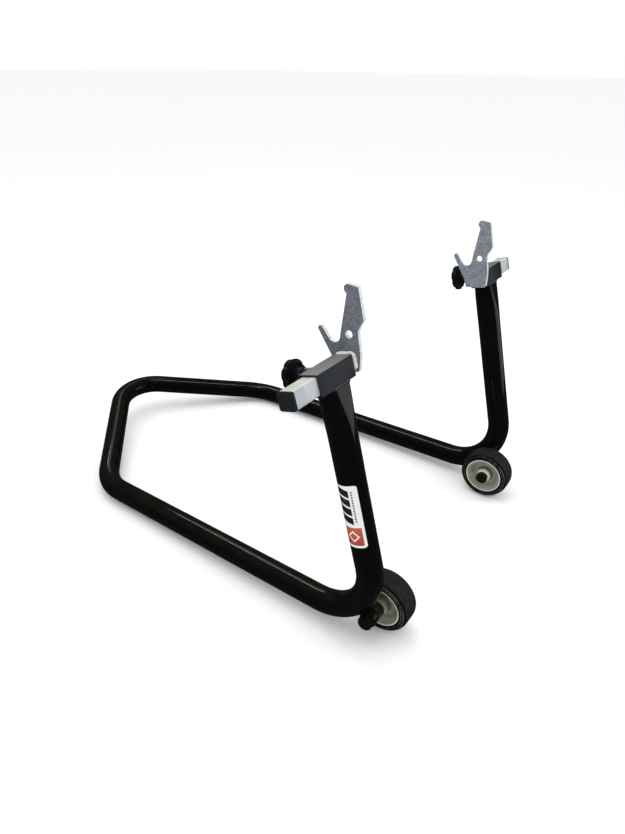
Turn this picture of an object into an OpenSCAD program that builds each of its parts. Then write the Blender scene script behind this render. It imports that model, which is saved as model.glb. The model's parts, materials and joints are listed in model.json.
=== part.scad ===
// Rear paddock stand: one bent round tube with a pointed handle end, two
// leaning uprights that carry square sleeves, clamped sliding arms with
// forked hook plates, and two wheels on bolted axles beside the lower bends.
// Origin: on the floor, at the middle of the stand's length and width.
// +Y points to the wheels, -Y to the handle, +X is the right-hand side.
// Sizes in millimetres. Names end in _d for diameters and _r for radii.

/* [Frame tube] */
// Outside diameter of the frame tube
tube_d = 33.7; // [30:0.1:36]
// Wall of the frame tube
tube_wall = 2; // [1.5:0.5:3]
// Half the distance between the uprights, axis to axis
half_width = 210.5; // [200:0.5:225]
// Half the distance between the rails where they turn into the handle
handle_half_width = 208; // [190:1:215]
// Length of the rails, from the lower bend to the handle bend
rail_len = 537; // [450:1:600]
// Length of the handle legs, measured along the stand
handle_len = 198.5; // [160:0.5:240]
// Height of the tube axis at the tip of the handle
handle_tip_z = 63.5; // [20:0.5:120]
// Height of the tube axis at the lower bends
heel_z = 27; // [20:0.5:40]
// Length of the uprights, from the lower corner to the sleeve axis
upright_len = 342; // [300:1:380]
// Backward lean of the uprights, degrees
upright_lean = 14.7; // [8:0.1:20]
// Bend radius at the foot of the uprights
heel_bend_r = 77; // [60:1:80]
// Bend radius between rails and handle legs
handle_bend_r = 80; // [50:1:120]
// Bend radius at the tip of the handle
tip_bend_r = 75; // [50:1:110]
// Length over which the top of each upright is pressed oval
press_len = 62; // [40:1:80]
// Width of the pressed top, along the stand
press_width = 25.6; // [25:0.1:30]

/* [Sleeves and arms] */
// Outside size of the square sleeve
sleeve_size = 25; // [25:0.5:28]
// Wall of the square sleeve
sleeve_wall = 2; // [1.5:0.1:2.3]
// Length of the sleeve
sleeve_len = 63; // [55:1:80]
// Sideways offset of the sleeve's middle from the upright's axis
sleeve_offset = 5; // [0:0.5:8]
// Tilt of the sleeves about the side-to-side axis, degrees
sleeve_tilt = 16.5; // [10:0.5:20]
// Outside size of the sliding arm
arm_size = 20; // [18:0.5:20]
// Wall of the sliding arm
arm_wall = 1.5; // [1:0.1:2]
// Length of the arm tube
arm_len = 104; // [95:1:125]
// Distance from the middle of the stand to the back of each hook plate
hook_x = 179; // [177:0.5:179]
// Thickness of the end plug's head
plug_head = 5; // [2:0.5:5]

/* [Hook plates] */
// Thickness of the hook plates
hook_thick = 5; // [4:0.5:6]
// Radius of the fork that cradles the spool
fork_r = 7.5; // [6:0.1:8]
// Diameter of the small hole above the fork
hook_hole_d = 8.4; // [6:0.1:9]
// Leg of the weld fillet between arm and plate
weld_leg = 4; // [2:0.5:4.5]

/* [Clamp knobs] */
// Thread diameter of the clamp screw
screw_d = 10; // [8:1:10]
// Outside diameter of the star knob
knob_d = 37; // [34:1:42]
// Number of lobes on the star knob
knob_lobes = 7; // [5:1:9]
// Thickness of the star
knob_thick = 7.5; // [7:0.5:9]
// Distance from the arm's axis to the outer face of the knob
knob_out = 49.5; // [48:0.5:60]
// Length of the threaded boss on the sleeve
boss_len = 16.5; // [12:0.5:17]
// Outside diameter of the threaded boss
boss_d = 17; // [16:0.5:20]

/* [Wheels] */
// Diameter of the wheels
wheel_d = 80; // [76:1:80]
// Width of the tyres
wheel_width = 33; // [28:1:33]
// Distance from the middle of the stand to the inner face of each tyre
wheel_x = 158; // [150:1:158]
// Distance of the axle from the lower corner, along the stand
axle_y = -18; // [-20:0.5:-16]
// Diameter of the axle bolt
axle_d = 10; // [10:1:10]
// Outside diameter of the axle bush
bush_d = 22; // [21:1:24]

/* [Label] */
// Length of the side label
label_len = 81; // [50:1:120]
// Angle that the side label covers round the tube
label_angle = 100; // [60:5:140]
// Distance from the lower corner to the label's lower end
label_start = 136; // [110:1:180]

/* [Hidden] */
$fn = 72;
eps = 0.01;     // overlap that joins stacked bodies
cut = 1;        // overrun of cutting bodies
skin = 0.05;    // how far straight pipes stay inside the walls of the bends
fit_gap = 0.05; // radial gap at threads and at the wheel's bore
bevel = 1;      // height of the bevels on boss, plug, bolt and nut

// Frame
tube_r = tube_d/2;
tube_bore_r = tube_r - tube_wall;
handle_leg = [handle_half_width, handle_len, tube_r - handle_tip_z];
leg_side_len = norm([0, handle_leg[1], handle_leg[2]]); // handle leg in the side view
tip_half_angle = acos(leg_side_len/norm(handle_leg));
// ends of the stand along Y, measured from the lower corners
wheel_end = axle_y + wheel_d/2;
handle_end = -rail_len - handle_len
  + handle_len/leg_side_len*tip_bend_r*(1/sin(tip_half_angle) - 1) - tube_r;
// place of the lower corners along Y, which puts the origin midway
heel_y = -(wheel_end + handle_end)/2;
// corners of the tube's axis on the right-hand side
tip = [0, heel_y - rail_len - handle_len, handle_tip_z];
rail_end = [handle_half_width, heel_y - rail_len, tube_r];
heel = [half_width, heel_y, heel_z];
top = heel + upright_len*[0, -sin(upright_lean), cos(upright_lean)];
// pressed top: distance of its start up the upright, and half its sideways width
press_start = upright_len - sleeve_size/2 - press_len;
press_half_x = tube_r*1.175;

// Sleeves and arms
clamp_x = half_width + sleeve_offset;
sleeve_corner_r = 1.6;
arm_corner_r = 2.6;
plug_depth = 14;

// Clamps, placed along the screw from the arm's axis outwards
screw_start = arm_size/2 + 0.1;
screw_end = knob_out - 3;
knob_back = knob_out - knob_thick;
knob_edge_r = 2;
neck_len = 11.5;
insert_d = 13.5;
insert_start = -neck_len + 2; // from the back of the star
insert_len = knob_thick + neck_len - 4.5;

// Axle stack, placed sideways from the middle of the stand
axle_r = axle_d/2;
nut_height = 8;
head_height = 7;
wrench = 17; // across the flats of nut and bolt head
hex_d = wrench/cos(30);
head_washer = 2;
wheel_washer = 1.5;
hub_proud = 1; // how far the hub stands out of each tyre face
spacer_r = axle_r + 1.5;
spacer_x0 = wheel_x - hub_proud - 0.5;
spacer_x1 = wheel_x + wheel_width + hub_proud + 0.5;
nut_x = spacer_x0 - nut_height;
bolt_x = nut_x - 1.5;
bush_x0 = spacer_x1 + wheel_washer;
bush_x1 = bush_x0 + 23.5;
head_x = bush_x1 + head_washer;

// ---- Helpers ----

function unit(v) = v/norm(v);
function flip(point) = [-point[0], point[1], point[2]];
function arc(centre, radius, from, to, steps) = [
  for (i = [0:steps])
    let (angle = from + (to - from)*i/steps)
    centre + radius*[cos(angle), sin(angle)]
];

// Point where the bend at a corner meets the straight run towards near
function bend_end(near, corner, far, bend_r) =
  let (a = unit(near - corner), b = unit(far - corner))
  corner + a*bend_r/tan(acos(a*b)/2);

module ring(outer_r, inner_r, height) {
  difference() {
    cylinder(r = outer_r, h = height);
    translate([0, 0, -cut]) cylinder(r = inner_r, h = height + 2*cut);
  }
}

// Square with round corners
module round_square(size, corner_r) {
  square([size, size - 2*corner_r], center = true);
  square([size - 2*corner_r, size], center = true);
  for (i = [-1, 1], j = [-1, 1])
    translate([i, j]*(size/2 - corner_r)) circle(r = corner_r, $fn = 48);
}

// Square tube along +X from x = 0
module box_tube(size, wall, length, corner_r) {
  rotate([90, 0, 90]) linear_extrude(length) difference() {
    round_square(size, corner_r);
    round_square(size - 2*wall, max(0.4, corner_r - wall));
  }
}

module left() { mirror([1, 0, 0]) children(); }
module both_sides() { for (side = [0, 1]) mirror([side, 0, 0]) children(); }

// Local Z runs up the right upright's axis, from a distance above the lower corner
module on_upright(distance) {
  translate(heel) rotate([upright_lean, 0, 0]) translate([0, 0, distance]) children();
}
// On the sleeve's axis: local X sideways, Y out of the wheel-side face, Z up through the sleeve
module at_sleeve(x) { translate([x, top[1], top[2]]) rotate([sleeve_tilt, 0, 0]) children(); }
// At the clamp: local Z points out of the handle-side face of the sleeve
module at_clamp(z) { at_sleeve(clamp_x) rotate([90, 0, 0]) translate([0, 0, z]) children(); }
// On the axle line: local Z points outwards, from the middle of the stand
module on_axle(x) { translate([x, heel_y + axle_y, wheel_d/2]) rotate([90, 0, 90]) children(); }

// ---- Frame ----

// Straight length of frame tube. Its ends run a little way inside the walls
// of the bends, so that the whole tube is one solid.
module pipe(start, end, end_lap = 1) {
  start_lap = 1;
  run = end - start;
  length = norm(run);
  translate(start)
    rotate([0, acos(run[2]/length), atan2(run[1], run[0])])
      translate([0, 0, -start_lap])
        ring(tube_r - skin, tube_bore_r + skin, length + start_lap + end_lap);
}

// Bent length of frame tube at a corner, between the runs from before and to after
module elbow(before, corner, after, bend_r) {
  back = unit(before - corner);
  ahead = unit(after - corner);
  angle = acos(back*ahead);
  centre = corner + unit(back + ahead)*bend_r/sin(angle/2);
  x_axis = unit(bend_end(before, corner, after, bend_r) - centre);
  y_axis = -back;
  z_axis = cross(x_axis, y_axis);
  multmatrix([[x_axis[0], y_axis[0], z_axis[0], centre[0]],
              [x_axis[1], y_axis[1], z_axis[1], centre[1]],
              [x_axis[2], y_axis[2], z_axis[2], centre[2]],
              [0, 0, 0, 1]])
    rotate_extrude(angle = 180 - angle, $fn = 144)
      translate([bend_r, 0]) difference() {
        circle(r = tube_r);
        circle(r = tube_bore_r);
      }
}

// Body that changes from round at z = 0 to oval at its top
module round_to_oval(round_r, half_x, half_y, height) {
  unit_r = 10;
  hull() {
    cylinder(r = round_r, h = eps, $fn = 32);
    translate([0, 0, height]) scale([half_x/unit_r, half_y/unit_r, 1])
      cylinder(r = unit_r, h = eps, $fn = 32);
  }
}

// Pressed top of the right upright, cut off along the sleeve's underside
module upright_end() {
  height = press_len + 8; // long enough to reach past the cut
  half_y = press_width/2;
  difference() {
    on_upright(press_start) difference() {
      round_to_oval(tube_r/cos(180/32), press_half_x, half_y, height);
      translate([0, 0, -eps])
        round_to_oval(tube_bore_r, press_half_x - tube_wall, half_y - tube_wall, height + 4*eps);
    }
    at_sleeve(top[0]) translate([-60, -60, -sleeve_size/2]) cube([120, 120, 60]);
  }
}

module frame_tube() {
  color([0.03, 0.03, 0.03]) difference() {
    union() {
      elbow(flip(rail_end), tip, rail_end, tip_bend_r);
      both_sides() {
        pipe(bend_end(rail_end, tip, flip(rail_end), tip_bend_r),
             bend_end(tip, rail_end, heel, handle_bend_r));
        elbow(tip, rail_end, heel, handle_bend_r);
        pipe(bend_end(heel, rail_end, tip, handle_bend_r),
             bend_end(rail_end, heel, top, heel_bend_r));
        elbow(rail_end, heel, top, heel_bend_r);
        pipe(bend_end(top, heel, rail_end, heel_bend_r),
             heel + unit(top - heel)*press_start, end_lap = 0.4);
      }
      both_sides() upright_end();
    }
    // seats for the axle bushes
    both_sides()
      translate([bush_x0 - 5, heel_y + axle_y, wheel_d/2]) rotate([0, 90, 0])
        cylinder(d = bush_d, h = 60);
  }
}

// Thin curved label on the outer side of the right upright
module side_label() {
  thickness = 0.2;
  color("white") on_upright(label_start)
    rotate([0, 0, -label_angle/2])
      rotate_extrude(angle = label_angle, $fn = 144)
        translate([tube_r - skin + 0.02, 0]) square([thickness, label_len]);
}

// ---- Sleeves and clamps ----

module right_sleeve() {
  color([0.05, 0.05, 0.055]) difference() {
    at_sleeve(clamp_x - sleeve_len/2)
      box_tube(sleeve_size, sleeve_wall, sleeve_len, sleeve_corner_r);
    at_clamp(sleeve_size/2 - sleeve_wall - 2) cylinder(d = screw_d + 1, h = sleeve_wall + 4);
  }
}

// Threaded boss welded over the sleeve's hole
module right_clamp_boss() {
  color([0.05, 0.05, 0.055]) at_clamp(sleeve_size/2) difference() {
    union() {
      cylinder(d = boss_d, h = boss_len - bevel);
      translate([0, 0, boss_len - bevel - eps])
        cylinder(d1 = boss_d, d2 = boss_d - 2*bevel, h = bevel + eps);
    }
    translate([0, 0, -cut]) cylinder(r = screw_d/2 + fit_gap, h = boss_len + 2*cut);
  }
}

// Clamp screw, stepped down over the first millimetre at the arm
module right_clamp_screw() {
  step_len = 1;
  color("silver") at_clamp(screw_start) difference() {
    cylinder(d = screw_d, h = screw_end - screw_start);
    difference() {
      translate([0, 0, -cut]) cylinder(d = screw_d + 2, h = step_len + cut);
      translate([0, 0, -cut]) cylinder(d = screw_d - 1.6, h = step_len + 2*cut);
    }
  }
}

// Brass insert that anchors the screw in the knob
module right_knob_insert() {
  color("goldenrod") at_clamp(knob_back + insert_start) difference() {
    cylinder(d = insert_d, h = insert_len);
    translate([0, 0, -cut]) cylinder(r = screw_d/2 + fit_gap, h = knob_thick + neck_len);
  }
}

// Disc with a rounded rim, notched into lobes and hollowed at the back
module knob_star() {
  notch_r = knob_d*0.11;
  rim_x = knob_d/2 - knob_edge_r;
  hollow_depth = 2.5;
  difference() {
    rotate_extrude() {
      translate([0, knob_edge_r]) square([knob_d/2, knob_thick - 2*knob_edge_r]);
      square([rim_x, knob_thick]);
      translate([rim_x, knob_edge_r]) circle(r = knob_edge_r, $fn = 32);
      translate([rim_x, knob_thick - knob_edge_r]) circle(r = knob_edge_r, $fn = 32);
    }
    for (i = [0:knob_lobes - 1]) rotate([0, 0, (i + 0.5)*360/knob_lobes])
      translate([knob_d/2 + notch_r*0.62, 0, -cut]) cylinder(r = notch_r, h = knob_thick + 2*cut);
    translate([0, 0, -cut]) cylinder(d = knob_d - 12, h = hollow_depth + cut);
  }
}

// Star with a neck towards the sleeve, bored for screw and insert
module right_knob() {
  color([0.06, 0.06, 0.06]) at_clamp(knob_back) difference() {
    union() {
      knob_star();
      translate([0, 0, -neck_len]) cylinder(d1 = 18, d2 = 19, h = neck_len + 3);
    }
    translate([0, 0, -neck_len - cut]) cylinder(d = screw_d + 1.4, h = neck_len + 3);
    translate([0, 0, insert_start]) cylinder(d = insert_d, h = insert_len);
  }
}

// ---- Arms and hooks ----

module right_arm() {
  color([0.78, 0.79, 0.8]) at_sleeve(hook_x) box_tube(arm_size, arm_wall, arm_len, arm_corner_r);
}

// Plug in the arm's outer end: bevelled head and hollow square shank
module right_arm_plug() {
  arm_bore = arm_size - 2*arm_wall;
  color([0.04, 0.04, 0.045]) at_sleeve(hook_x + arm_len) rotate([90, 0, 90]) {
    linear_extrude(plug_head - bevel) round_square(arm_size, arm_corner_r);
    translate([0, 0, plug_head - bevel - eps])
      linear_extrude(bevel + eps) round_square(arm_size - 2, 2.2);
    translate([0, 0, -plug_depth]) linear_extrude(plug_depth + eps) difference() {
      round_square(arm_bore - 0.1, 1);
      round_square(arm_bore - 3.6, 1);
    }
  }
}

// Outline of the hook plate in the side view, from the arm's axis:
// first number towards the wheels, second number up
fork_centre = [-18.2, 28];
hook_hole_centre = [0.6, 33.6];
hook_outline = concat(
  arc([-35.6, 32], 3.4, 215, 35, 12),     // tip of the short finger
  [[-25.6, 24.5]],
  arc(fork_centre, fork_r, 205, 350, 14), // fork
  [[-9.3, 41], [-7.6, 54], [-6, 66], [-4.9, 75.4]],
  arc([-2.9, 82.2], 5.4, 252, 95, 14),    // bulge on the tall prong's head
  arc([7.2, 84.1], 2.6, 80, 12, 6),
  [[17.7, 52.4], [17.3, 51.2], [15.2, 47.4], [13.2, 43.9], [11.6, 39.9], [12.2, 34.5]],
  [[13.6, 27.6], [15.6, 17.6], [16.3, 9], [16.4, 1]],
  arc([11.2, -2.2], 5.2, -6, -78, 8),     // lower corners
  arc([-12.6, -9.6], 2, 262, 190, 5),
  [[-17.6, -0.2]]
);

module right_hook() {
  color([0.6, 0.63, 0.66]) translate([hook_x - hook_thick, top[1], top[2]]) rotate([90, 0, 90])
    linear_extrude(hook_thick) difference() {
      polygon(hook_outline);
      translate(hook_hole_centre) circle(d = hook_hole_d);
      translate(fork_centre) circle(r = fork_r);
    }
}

// Fillet weld over the top and down both sides of the arm where it meets the
// plate. The underside has none.
weld_reach = arm_size/2 + weld_leg*0.4;
weld_low = arm_size*0.3;
// Each run: turn about the arm, start, end
weld_runs = [
  [0, -weld_reach, weld_reach],
  [90, -weld_low, weld_reach],
  [270, -weld_reach, weld_low]
];
weld_section = [[0, 0], [weld_leg, 0], [weld_leg*0.45, -weld_leg*0.45], [0, -weld_leg]];

module right_hook_weld() {
  color([0.8, 0.8, 0.78]) at_sleeve(hook_x)
    for (seam = weld_runs) rotate([seam[0], 0, 0])
      translate([0, seam[1], arm_size/2]) rotate([-90, 0, 0])
        linear_extrude(seam[2] - seam[1]) polygon(weld_section);
}

// ---- Axles ----

module right_axle_bush() {
  color([0.05, 0.05, 0.05]) on_axle(bush_x0) ring(bush_d/2, axle_r + 0.1, bush_x1 - bush_x0);
}

// Hexagon bolt with its head on the outside
module right_axle_bolt() {
  color([0.1, 0.1, 0.11]) {
    on_axle(head_x) cylinder(d = hex_d, h = head_height, $fn = 6);
    on_axle(bolt_x + bevel) cylinder(d = axle_d, h = head_x - bolt_x - bevel + eps);
    on_axle(bolt_x) cylinder(d1 = axle_d - 2*bevel, d2 = axle_d, h = bevel + eps);
  }
}

// Steel tube that the wheel turns on; it is clamped by the bolt
module right_axle_spacer() {
  color("silver") on_axle(spacer_x0) ring(spacer_r, axle_r + 0.1, spacer_x1 - spacer_x0);
}

// One washer under the bolt's head, one between bush and wheel
module right_axle_washers() {
  hole_r = axle_r + 0.25;
  color("silver") {
    on_axle(bush_x1) ring(10, hole_r, head_washer);
    on_axle(spacer_x1) ring(9.5, hole_r, wheel_washer);
  }
}

// Hexagon nut, bevelled on its side towards the middle of the stand
module right_axle_nut() {
  color([0.08, 0.08, 0.09]) on_axle(nut_x) difference() {
    union() {
      translate([0, 0, bevel]) cylinder(d = hex_d, h = nut_height - bevel, $fn = 6);
      cylinder(d1 = wrench - 1.6, d2 = wrench - 0.1, h = bevel + eps);
    }
    translate([0, 0, -cut]) cylinder(r = axle_r + fit_gap, h = nut_height + 2*cut);
  }
}

// ---- Wheels ----

rim_r = wheel_d/2 - 12.5;
lip_r = 29.6;
lip_depth = 2.2;
hub_bore_r = spacer_r + fit_gap;
// Wheel centre's section: radius, depth from the tyre's face
rim_side = [
  [14, 11], [20.4, 11], [26.6, 1.2], [28.2, 0.4],
  [lip_r, 0.4], [lip_r, lip_depth], [rim_r, lip_depth]
];
inner_side = concat(
  [[hub_bore_r, -hub_proud], [8.8, -hub_proud], [11.4, 3.5], [12.3, 9.5]], rim_side);
outer_side = concat(
  [[hub_bore_r, -hub_proud], [11.5, -hub_proud], [12.4, 9.5]], rim_side);
// Tyre's section: radius below the tread, depth from its face
shoulder = [
  [4, 0], [3.6, 0.4], [3.2, 1.5], [2.7, 1.6], [2, 2],
  [1.1, 3.5], [0.4, 5.8], [0.1, 8], [0, 10.5]
];

// The same points seen from the wheel's other face, in reverse order
function other_face(points) =
  [for (i = [len(points) - 1:-1:0]) [points[i][0], wheel_width - points[i][1]]];

module right_wheel_hub() {
  color([0.75, 0.75, 0.62]) on_axle(wheel_x) rotate_extrude()
    polygon(concat(inner_side, other_face(outer_side)));
}

// Rectangles cut into both faces of the tyre's section
module face_cuts(radius, width, depth) {
  for (z = [-cut, wheel_width - depth])
    translate([radius, z]) square([width, depth + cut]);
}

module right_tyre() {
  side = concat([[rim_r, 0]], [for (point = shoulder) [wheel_d/2 - point[0], point[1]]]);
  color([0.05, 0.05, 0.05]) on_axle(wheel_x) rotate_extrude($fn = 144) difference() {
    polygon(concat(side, other_face(side)));
    // seats for the wheel centre's lips
    face_cuts(rim_r - cut, lip_r - rim_r + cut, lip_depth);
    // moulded steps in the sidewalls
    face_cuts(33.4, 1, 0.9);
  }
}

// ---- Left-hand pieces ----

module left_sleeve() { left() right_sleeve(); }
module left_clamp_boss() { left() right_clamp_boss(); }
module left_clamp_screw() { left() right_clamp_screw(); }
module left_knob() { left() right_knob(); }
module left_knob_insert() { left() right_knob_insert(); }
module left_arm() { left() right_arm(); }
module left_arm_plug() { left() right_arm_plug(); }
module left_hook() { left() right_hook(); }
module left_hook_weld() { left() right_hook_weld(); }
module left_axle_bush() { left() right_axle_bush(); }
module left_axle_bolt() { left() right_axle_bolt(); }
module left_axle_spacer() { left() right_axle_spacer(); }
module left_axle_washers() { left() right_axle_washers(); }
module left_axle_nut() { left() right_axle_nut(); }
module left_wheel_hub() { left() right_wheel_hub(); }
module left_tyre() { left() right_tyre(); }

frame_tube();
side_label();
right_sleeve();
left_sleeve();
right_clamp_boss();
left_clamp_boss();
right_clamp_screw();
left_clamp_screw();
right_knob();
left_knob();
right_knob_insert();
left_knob_insert();
right_arm();
left_arm();
right_arm_plug();
left_arm_plug();
right_hook();
left_hook();
right_hook_weld();
left_hook_weld();
right_axle_bush();
left_axle_bush();
right_axle_bolt();
left_axle_bolt();
right_axle_spacer();
left_axle_spacer();
right_axle_washers();
left_axle_washers();
right_axle_nut();
left_axle_nut();
right_wheel_hub();
left_wheel_hub();
right_tyre();
left_tyre();
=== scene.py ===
"""Steel lifting stand on two wheels, with hook plates on sliding arms.

The stand is mirrored about X = 0. The bent tube runs along the floor from the wheels at +Y to the
closed end at -Y. Its two uprights carry square sleeves along X; each sleeve holds a sliding arm,
its clamp knob on the -Y face. Shapes are in millimetres; shader, light and camera lengths are in
metres. "Inner" means towards X = 0. A sign of 1 is the right side (+X), -1 the left.
"""

import json
import math
from contextlib import contextmanager

import bmesh
import bpy
import numpy as np
from mathutils import Matrix, Vector
from mathutils.geometry import tessellate_polygon

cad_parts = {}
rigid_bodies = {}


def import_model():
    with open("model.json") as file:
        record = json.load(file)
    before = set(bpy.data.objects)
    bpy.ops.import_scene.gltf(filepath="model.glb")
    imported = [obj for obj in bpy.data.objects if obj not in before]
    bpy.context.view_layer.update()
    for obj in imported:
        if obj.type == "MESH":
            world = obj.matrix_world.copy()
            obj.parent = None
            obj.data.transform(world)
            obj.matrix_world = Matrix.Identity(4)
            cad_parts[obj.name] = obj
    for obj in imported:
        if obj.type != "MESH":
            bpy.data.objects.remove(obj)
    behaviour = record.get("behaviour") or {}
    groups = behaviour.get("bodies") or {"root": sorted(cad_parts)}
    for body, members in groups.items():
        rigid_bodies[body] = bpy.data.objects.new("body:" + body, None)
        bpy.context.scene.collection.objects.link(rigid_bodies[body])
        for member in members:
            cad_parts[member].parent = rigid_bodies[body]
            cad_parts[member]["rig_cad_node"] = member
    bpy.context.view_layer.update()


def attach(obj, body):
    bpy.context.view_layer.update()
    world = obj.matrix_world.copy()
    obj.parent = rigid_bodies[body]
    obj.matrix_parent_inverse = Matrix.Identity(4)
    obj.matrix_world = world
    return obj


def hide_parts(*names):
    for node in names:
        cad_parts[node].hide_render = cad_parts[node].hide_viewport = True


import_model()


def unit(vector):
    vector = np.asarray(vector, float)
    return vector / np.linalg.norm(vector)


# ---------------------------------------------------------------- driving dimensions, mm
MILLIMETRE = 0.001
X_AXIS = np.array([1.0, 0, 0])
MIRROR = np.array([-1.0, 1, 1])

TUBE_RADIUS = 16.85
TUBE_WALL = 2
LEAN = math.radians(14.7)       # uprights, towards -Y
TILT = math.radians(16.5)       # sleeve section about X
UPRIGHT_LENGTH = 342
# corners of the right half of the tube's centre line, and the radii of their bends
HEEL = np.array([210.5, 350.5593, 27.0])
FLOOR_CORNER = np.array([208.0, HEEL[1] - 537, TUBE_RADIUS])
END_CORNER = np.array([0.0, HEEL[1] - 735.5, 63.5])
HEEL_BEND, FLOOR_BEND, END_BEND = 77, 80, 75
UPRIGHT_TOP = HEEL + UPRIGHT_LENGTH * np.array([0, -math.sin(LEAN), math.cos(LEAN)])
UPRIGHT_AXIS = unit(UPRIGHT_TOP - HEEL)

WHEEL_RADIUS = 40.0
WHEEL_INNER, WHEEL_OUTER = 158, 191     # faces, along X
AXLE_Y, AXLE_Z = HEEL[1] - 18, WHEEL_RADIUS

SLEEVE_Y = np.array([0, math.cos(TILT), math.sin(TILT)])    # out of the wheel-side face
SLEEVE_Z = np.array([0, -math.sin(TILT), math.cos(TILT)])   # up through the sleeve
SLEEVE_START, SLEEVE_END = 184.0, 247.0
SLEEVE_MIDDLE = (SLEEVE_START + SLEEVE_END) / 2
SLEEVE_WIDTH, SLEEVE_BORE = 25, 21
SLEEVE_HALF = SLEEVE_WIDTH / 2

HOOK_START = 174
HOOK_THICKNESS = 5
ARM_START, ARM_END = HOOK_START + HOOK_THICKNESS, 283.0
ARM_WIDTH, ARM_BORE, ARM_CORNER = 20, 17, 2.6

BUSH_START, BUSH_END, BUSH_RADIUS = 194, 217.5, 11
INNER_WASHER, OUTER_WASHER = 1.5, 2     # thicknesses, against the bush's two ends


# ---------------------------------------------------------------- shapes
# A shape is (vertices, faces). A ring is a closed row of points.
def full_turn(count):
    return np.linspace(0, 2 * math.pi, count, endpoint=False)


def loft(rings, loop=False, cap_start=False, cap_end=False):
    """Joins rings of equal length; loop joins the last to the first."""
    count, total = len(rings[0]), len(rings)
    vertices = np.concatenate([np.asarray(points, float) for points in rings])
    faces = []
    for k in range(total if loop else total - 1):
        here, there = k * count, ((k + 1) % total) * count
        for i in range(count):
            j = (i + 1) % count
            faces.append((here + i, here + j, there + j, there + i))
    if cap_start:
        faces.append(tuple(range(count))[::-1])
    if cap_end:
        faces.append(tuple((total - 1) * count + i for i in range(count)))
    return vertices, faces


def join(*shapes):
    vertices, faces, offset = [], [], 0
    for points, polygons in shapes:
        vertices.append(points)
        faces += [tuple(i + offset for i in polygon) for polygon in polygons]
        offset += len(points)
    return np.concatenate(vertices), faces


def ring(radius, z, segments=48):
    """Ring round Z; radius is one number or one per point."""
    angles = full_turn(segments)
    return np.stack([radius * np.cos(angles), radius * np.sin(angles), np.full(segments, z)], 1)


def cylinder(radius, start, end, segments):
    return loft([ring(radius, start, segments), ring(radius, end, segments)],
                cap_start=True, cap_end=True)


def lathe(profile, segments):
    """Turns a closed loop of (radius, z) points round Z."""
    return loft([ring(radius, z, segments) for radius, z in profile], loop=True)


def swing(centre, start, end, radius, count=None):
    """Arc between two offsets from its centre, in steps of about 1.6 degrees or count steps."""
    turn = math.acos(max(-1, min(1, float(start @ end) / (radius * radius))))
    count = count or max(6, int(math.degrees(turn) / 1.6))
    return [centre + (math.sin((1 - share) * turn) * start + math.sin(share * turn) * end)
            / math.sin(turn) for share in np.linspace(0, 1, count + 1)]


def fillet(corners, steps):
    """Rounds a closed 2-D polygon of (x, y, rounding) corners."""
    places = [np.array(corner[:2], float) for corner in corners]
    points = []
    for i, corner in enumerate(places):
        back, ahead = places[i - 1] - corner, places[(i + 1) % len(places)] - corner
        back_length, ahead_length = np.linalg.norm(back), np.linalg.norm(ahead)
        back, ahead = back / back_length, ahead / ahead_length
        angle = math.acos(max(-1, min(1, float(back @ ahead))))
        if angle > math.pi - 0.05 or angle < 0.05:
            points.append(corner)
            continue
        # a rounding may use at most 0.46 of either neighbouring edge
        reach = min(corners[i][2] / math.tan(angle / 2), 0.46 * back_length, 0.46 * ahead_length)
        radius = reach * math.tan(angle / 2)
        centre = corner + unit(back + ahead) * radius / math.sin(angle / 2)
        points += swing(centre, corner + back * reach - centre,
                        corner + ahead * reach - centre, radius, steps)
    return points


def turned_ring(bore, outer, start, end, roundings, steps, segments):
    """Hollow cylinder; roundings go start bore, start outside, end outside, end bore."""
    corners = ((bore, start), (outer, start), (outer, end), (bore, end))
    profile = fillet([(*corner, size) for corner, size in zip(corners, roundings)], steps)
    return lathe(profile, segments)


def rounded_square(width, corner, steps=8):
    points = []
    middle = width / 2 - corner
    for x, y, start in ((1, 1, 0), (-1, 1, 90), (-1, -1, 180), (1, -1, 270)):
        for k in range(steps + 1):
            angle = math.radians(start + 90 * k / steps)
            points.append((x * middle + corner * math.cos(angle),
                           y * middle + corner * math.sin(angle)))
    return np.array(points)


def inset(outline, distance):
    """Moves a closed 2-D outline inwards."""
    tangent = np.roll(outline, -1, 0) - np.roll(outline, 1, 0)
    tangent /= np.linalg.norm(tangent, axis=1)[:, None]
    x, y = outline[:, 0], outline[:, 1]
    area = 0.5 * np.sum(x * np.roll(y, -1) - np.roll(x, -1) * y)
    inward = np.stack([-tangent[:, 1], tangent[:, 0]], 1) * (1 if area > 0 else -1)
    return outline + distance * inward


def lengths_along(points):
    return np.concatenate([[0], np.cumsum(np.linalg.norm(np.diff(points, axis=0), axis=1))])


def sample(points, lengths, at):
    """Points at given lengths along a polyline."""
    return np.stack([np.interp(at, lengths, column) for column in points.T], 1)


def carry(normal, heading):
    """Carries a normal on to the next heading of a path, without twist."""
    return unit(normal - heading * (normal @ heading))


def spokes(angles, normal, heading):
    return np.outer(np.cos(angles), normal) + np.outer(np.sin(angles), np.cross(heading, normal))


# ---------------------------------------------------------------- placing
def on_axle(shape, sign):
    """Local Z runs outwards along the axle, by a turn and no mirror: threads stay right-handed."""
    points, faces = shape
    x, y, z = points.T
    return np.stack([sign * z, AXLE_Y + sign * x, AXLE_Z + y], 1), faces


def at_clamp(shape, sign):
    """Local Z points from the sleeve's centre out of its handle-side (-Y) face."""
    points, faces = shape
    x, y, z = points.T
    base = np.array([sign * SLEEVE_MIDDLE, UPRIGHT_TOP[1], UPRIGHT_TOP[2]])
    return base + np.outer(x, X_AXIS) + np.outer(y, SLEEVE_Z) - np.outer(z, SLEEVE_Y), faces


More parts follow.
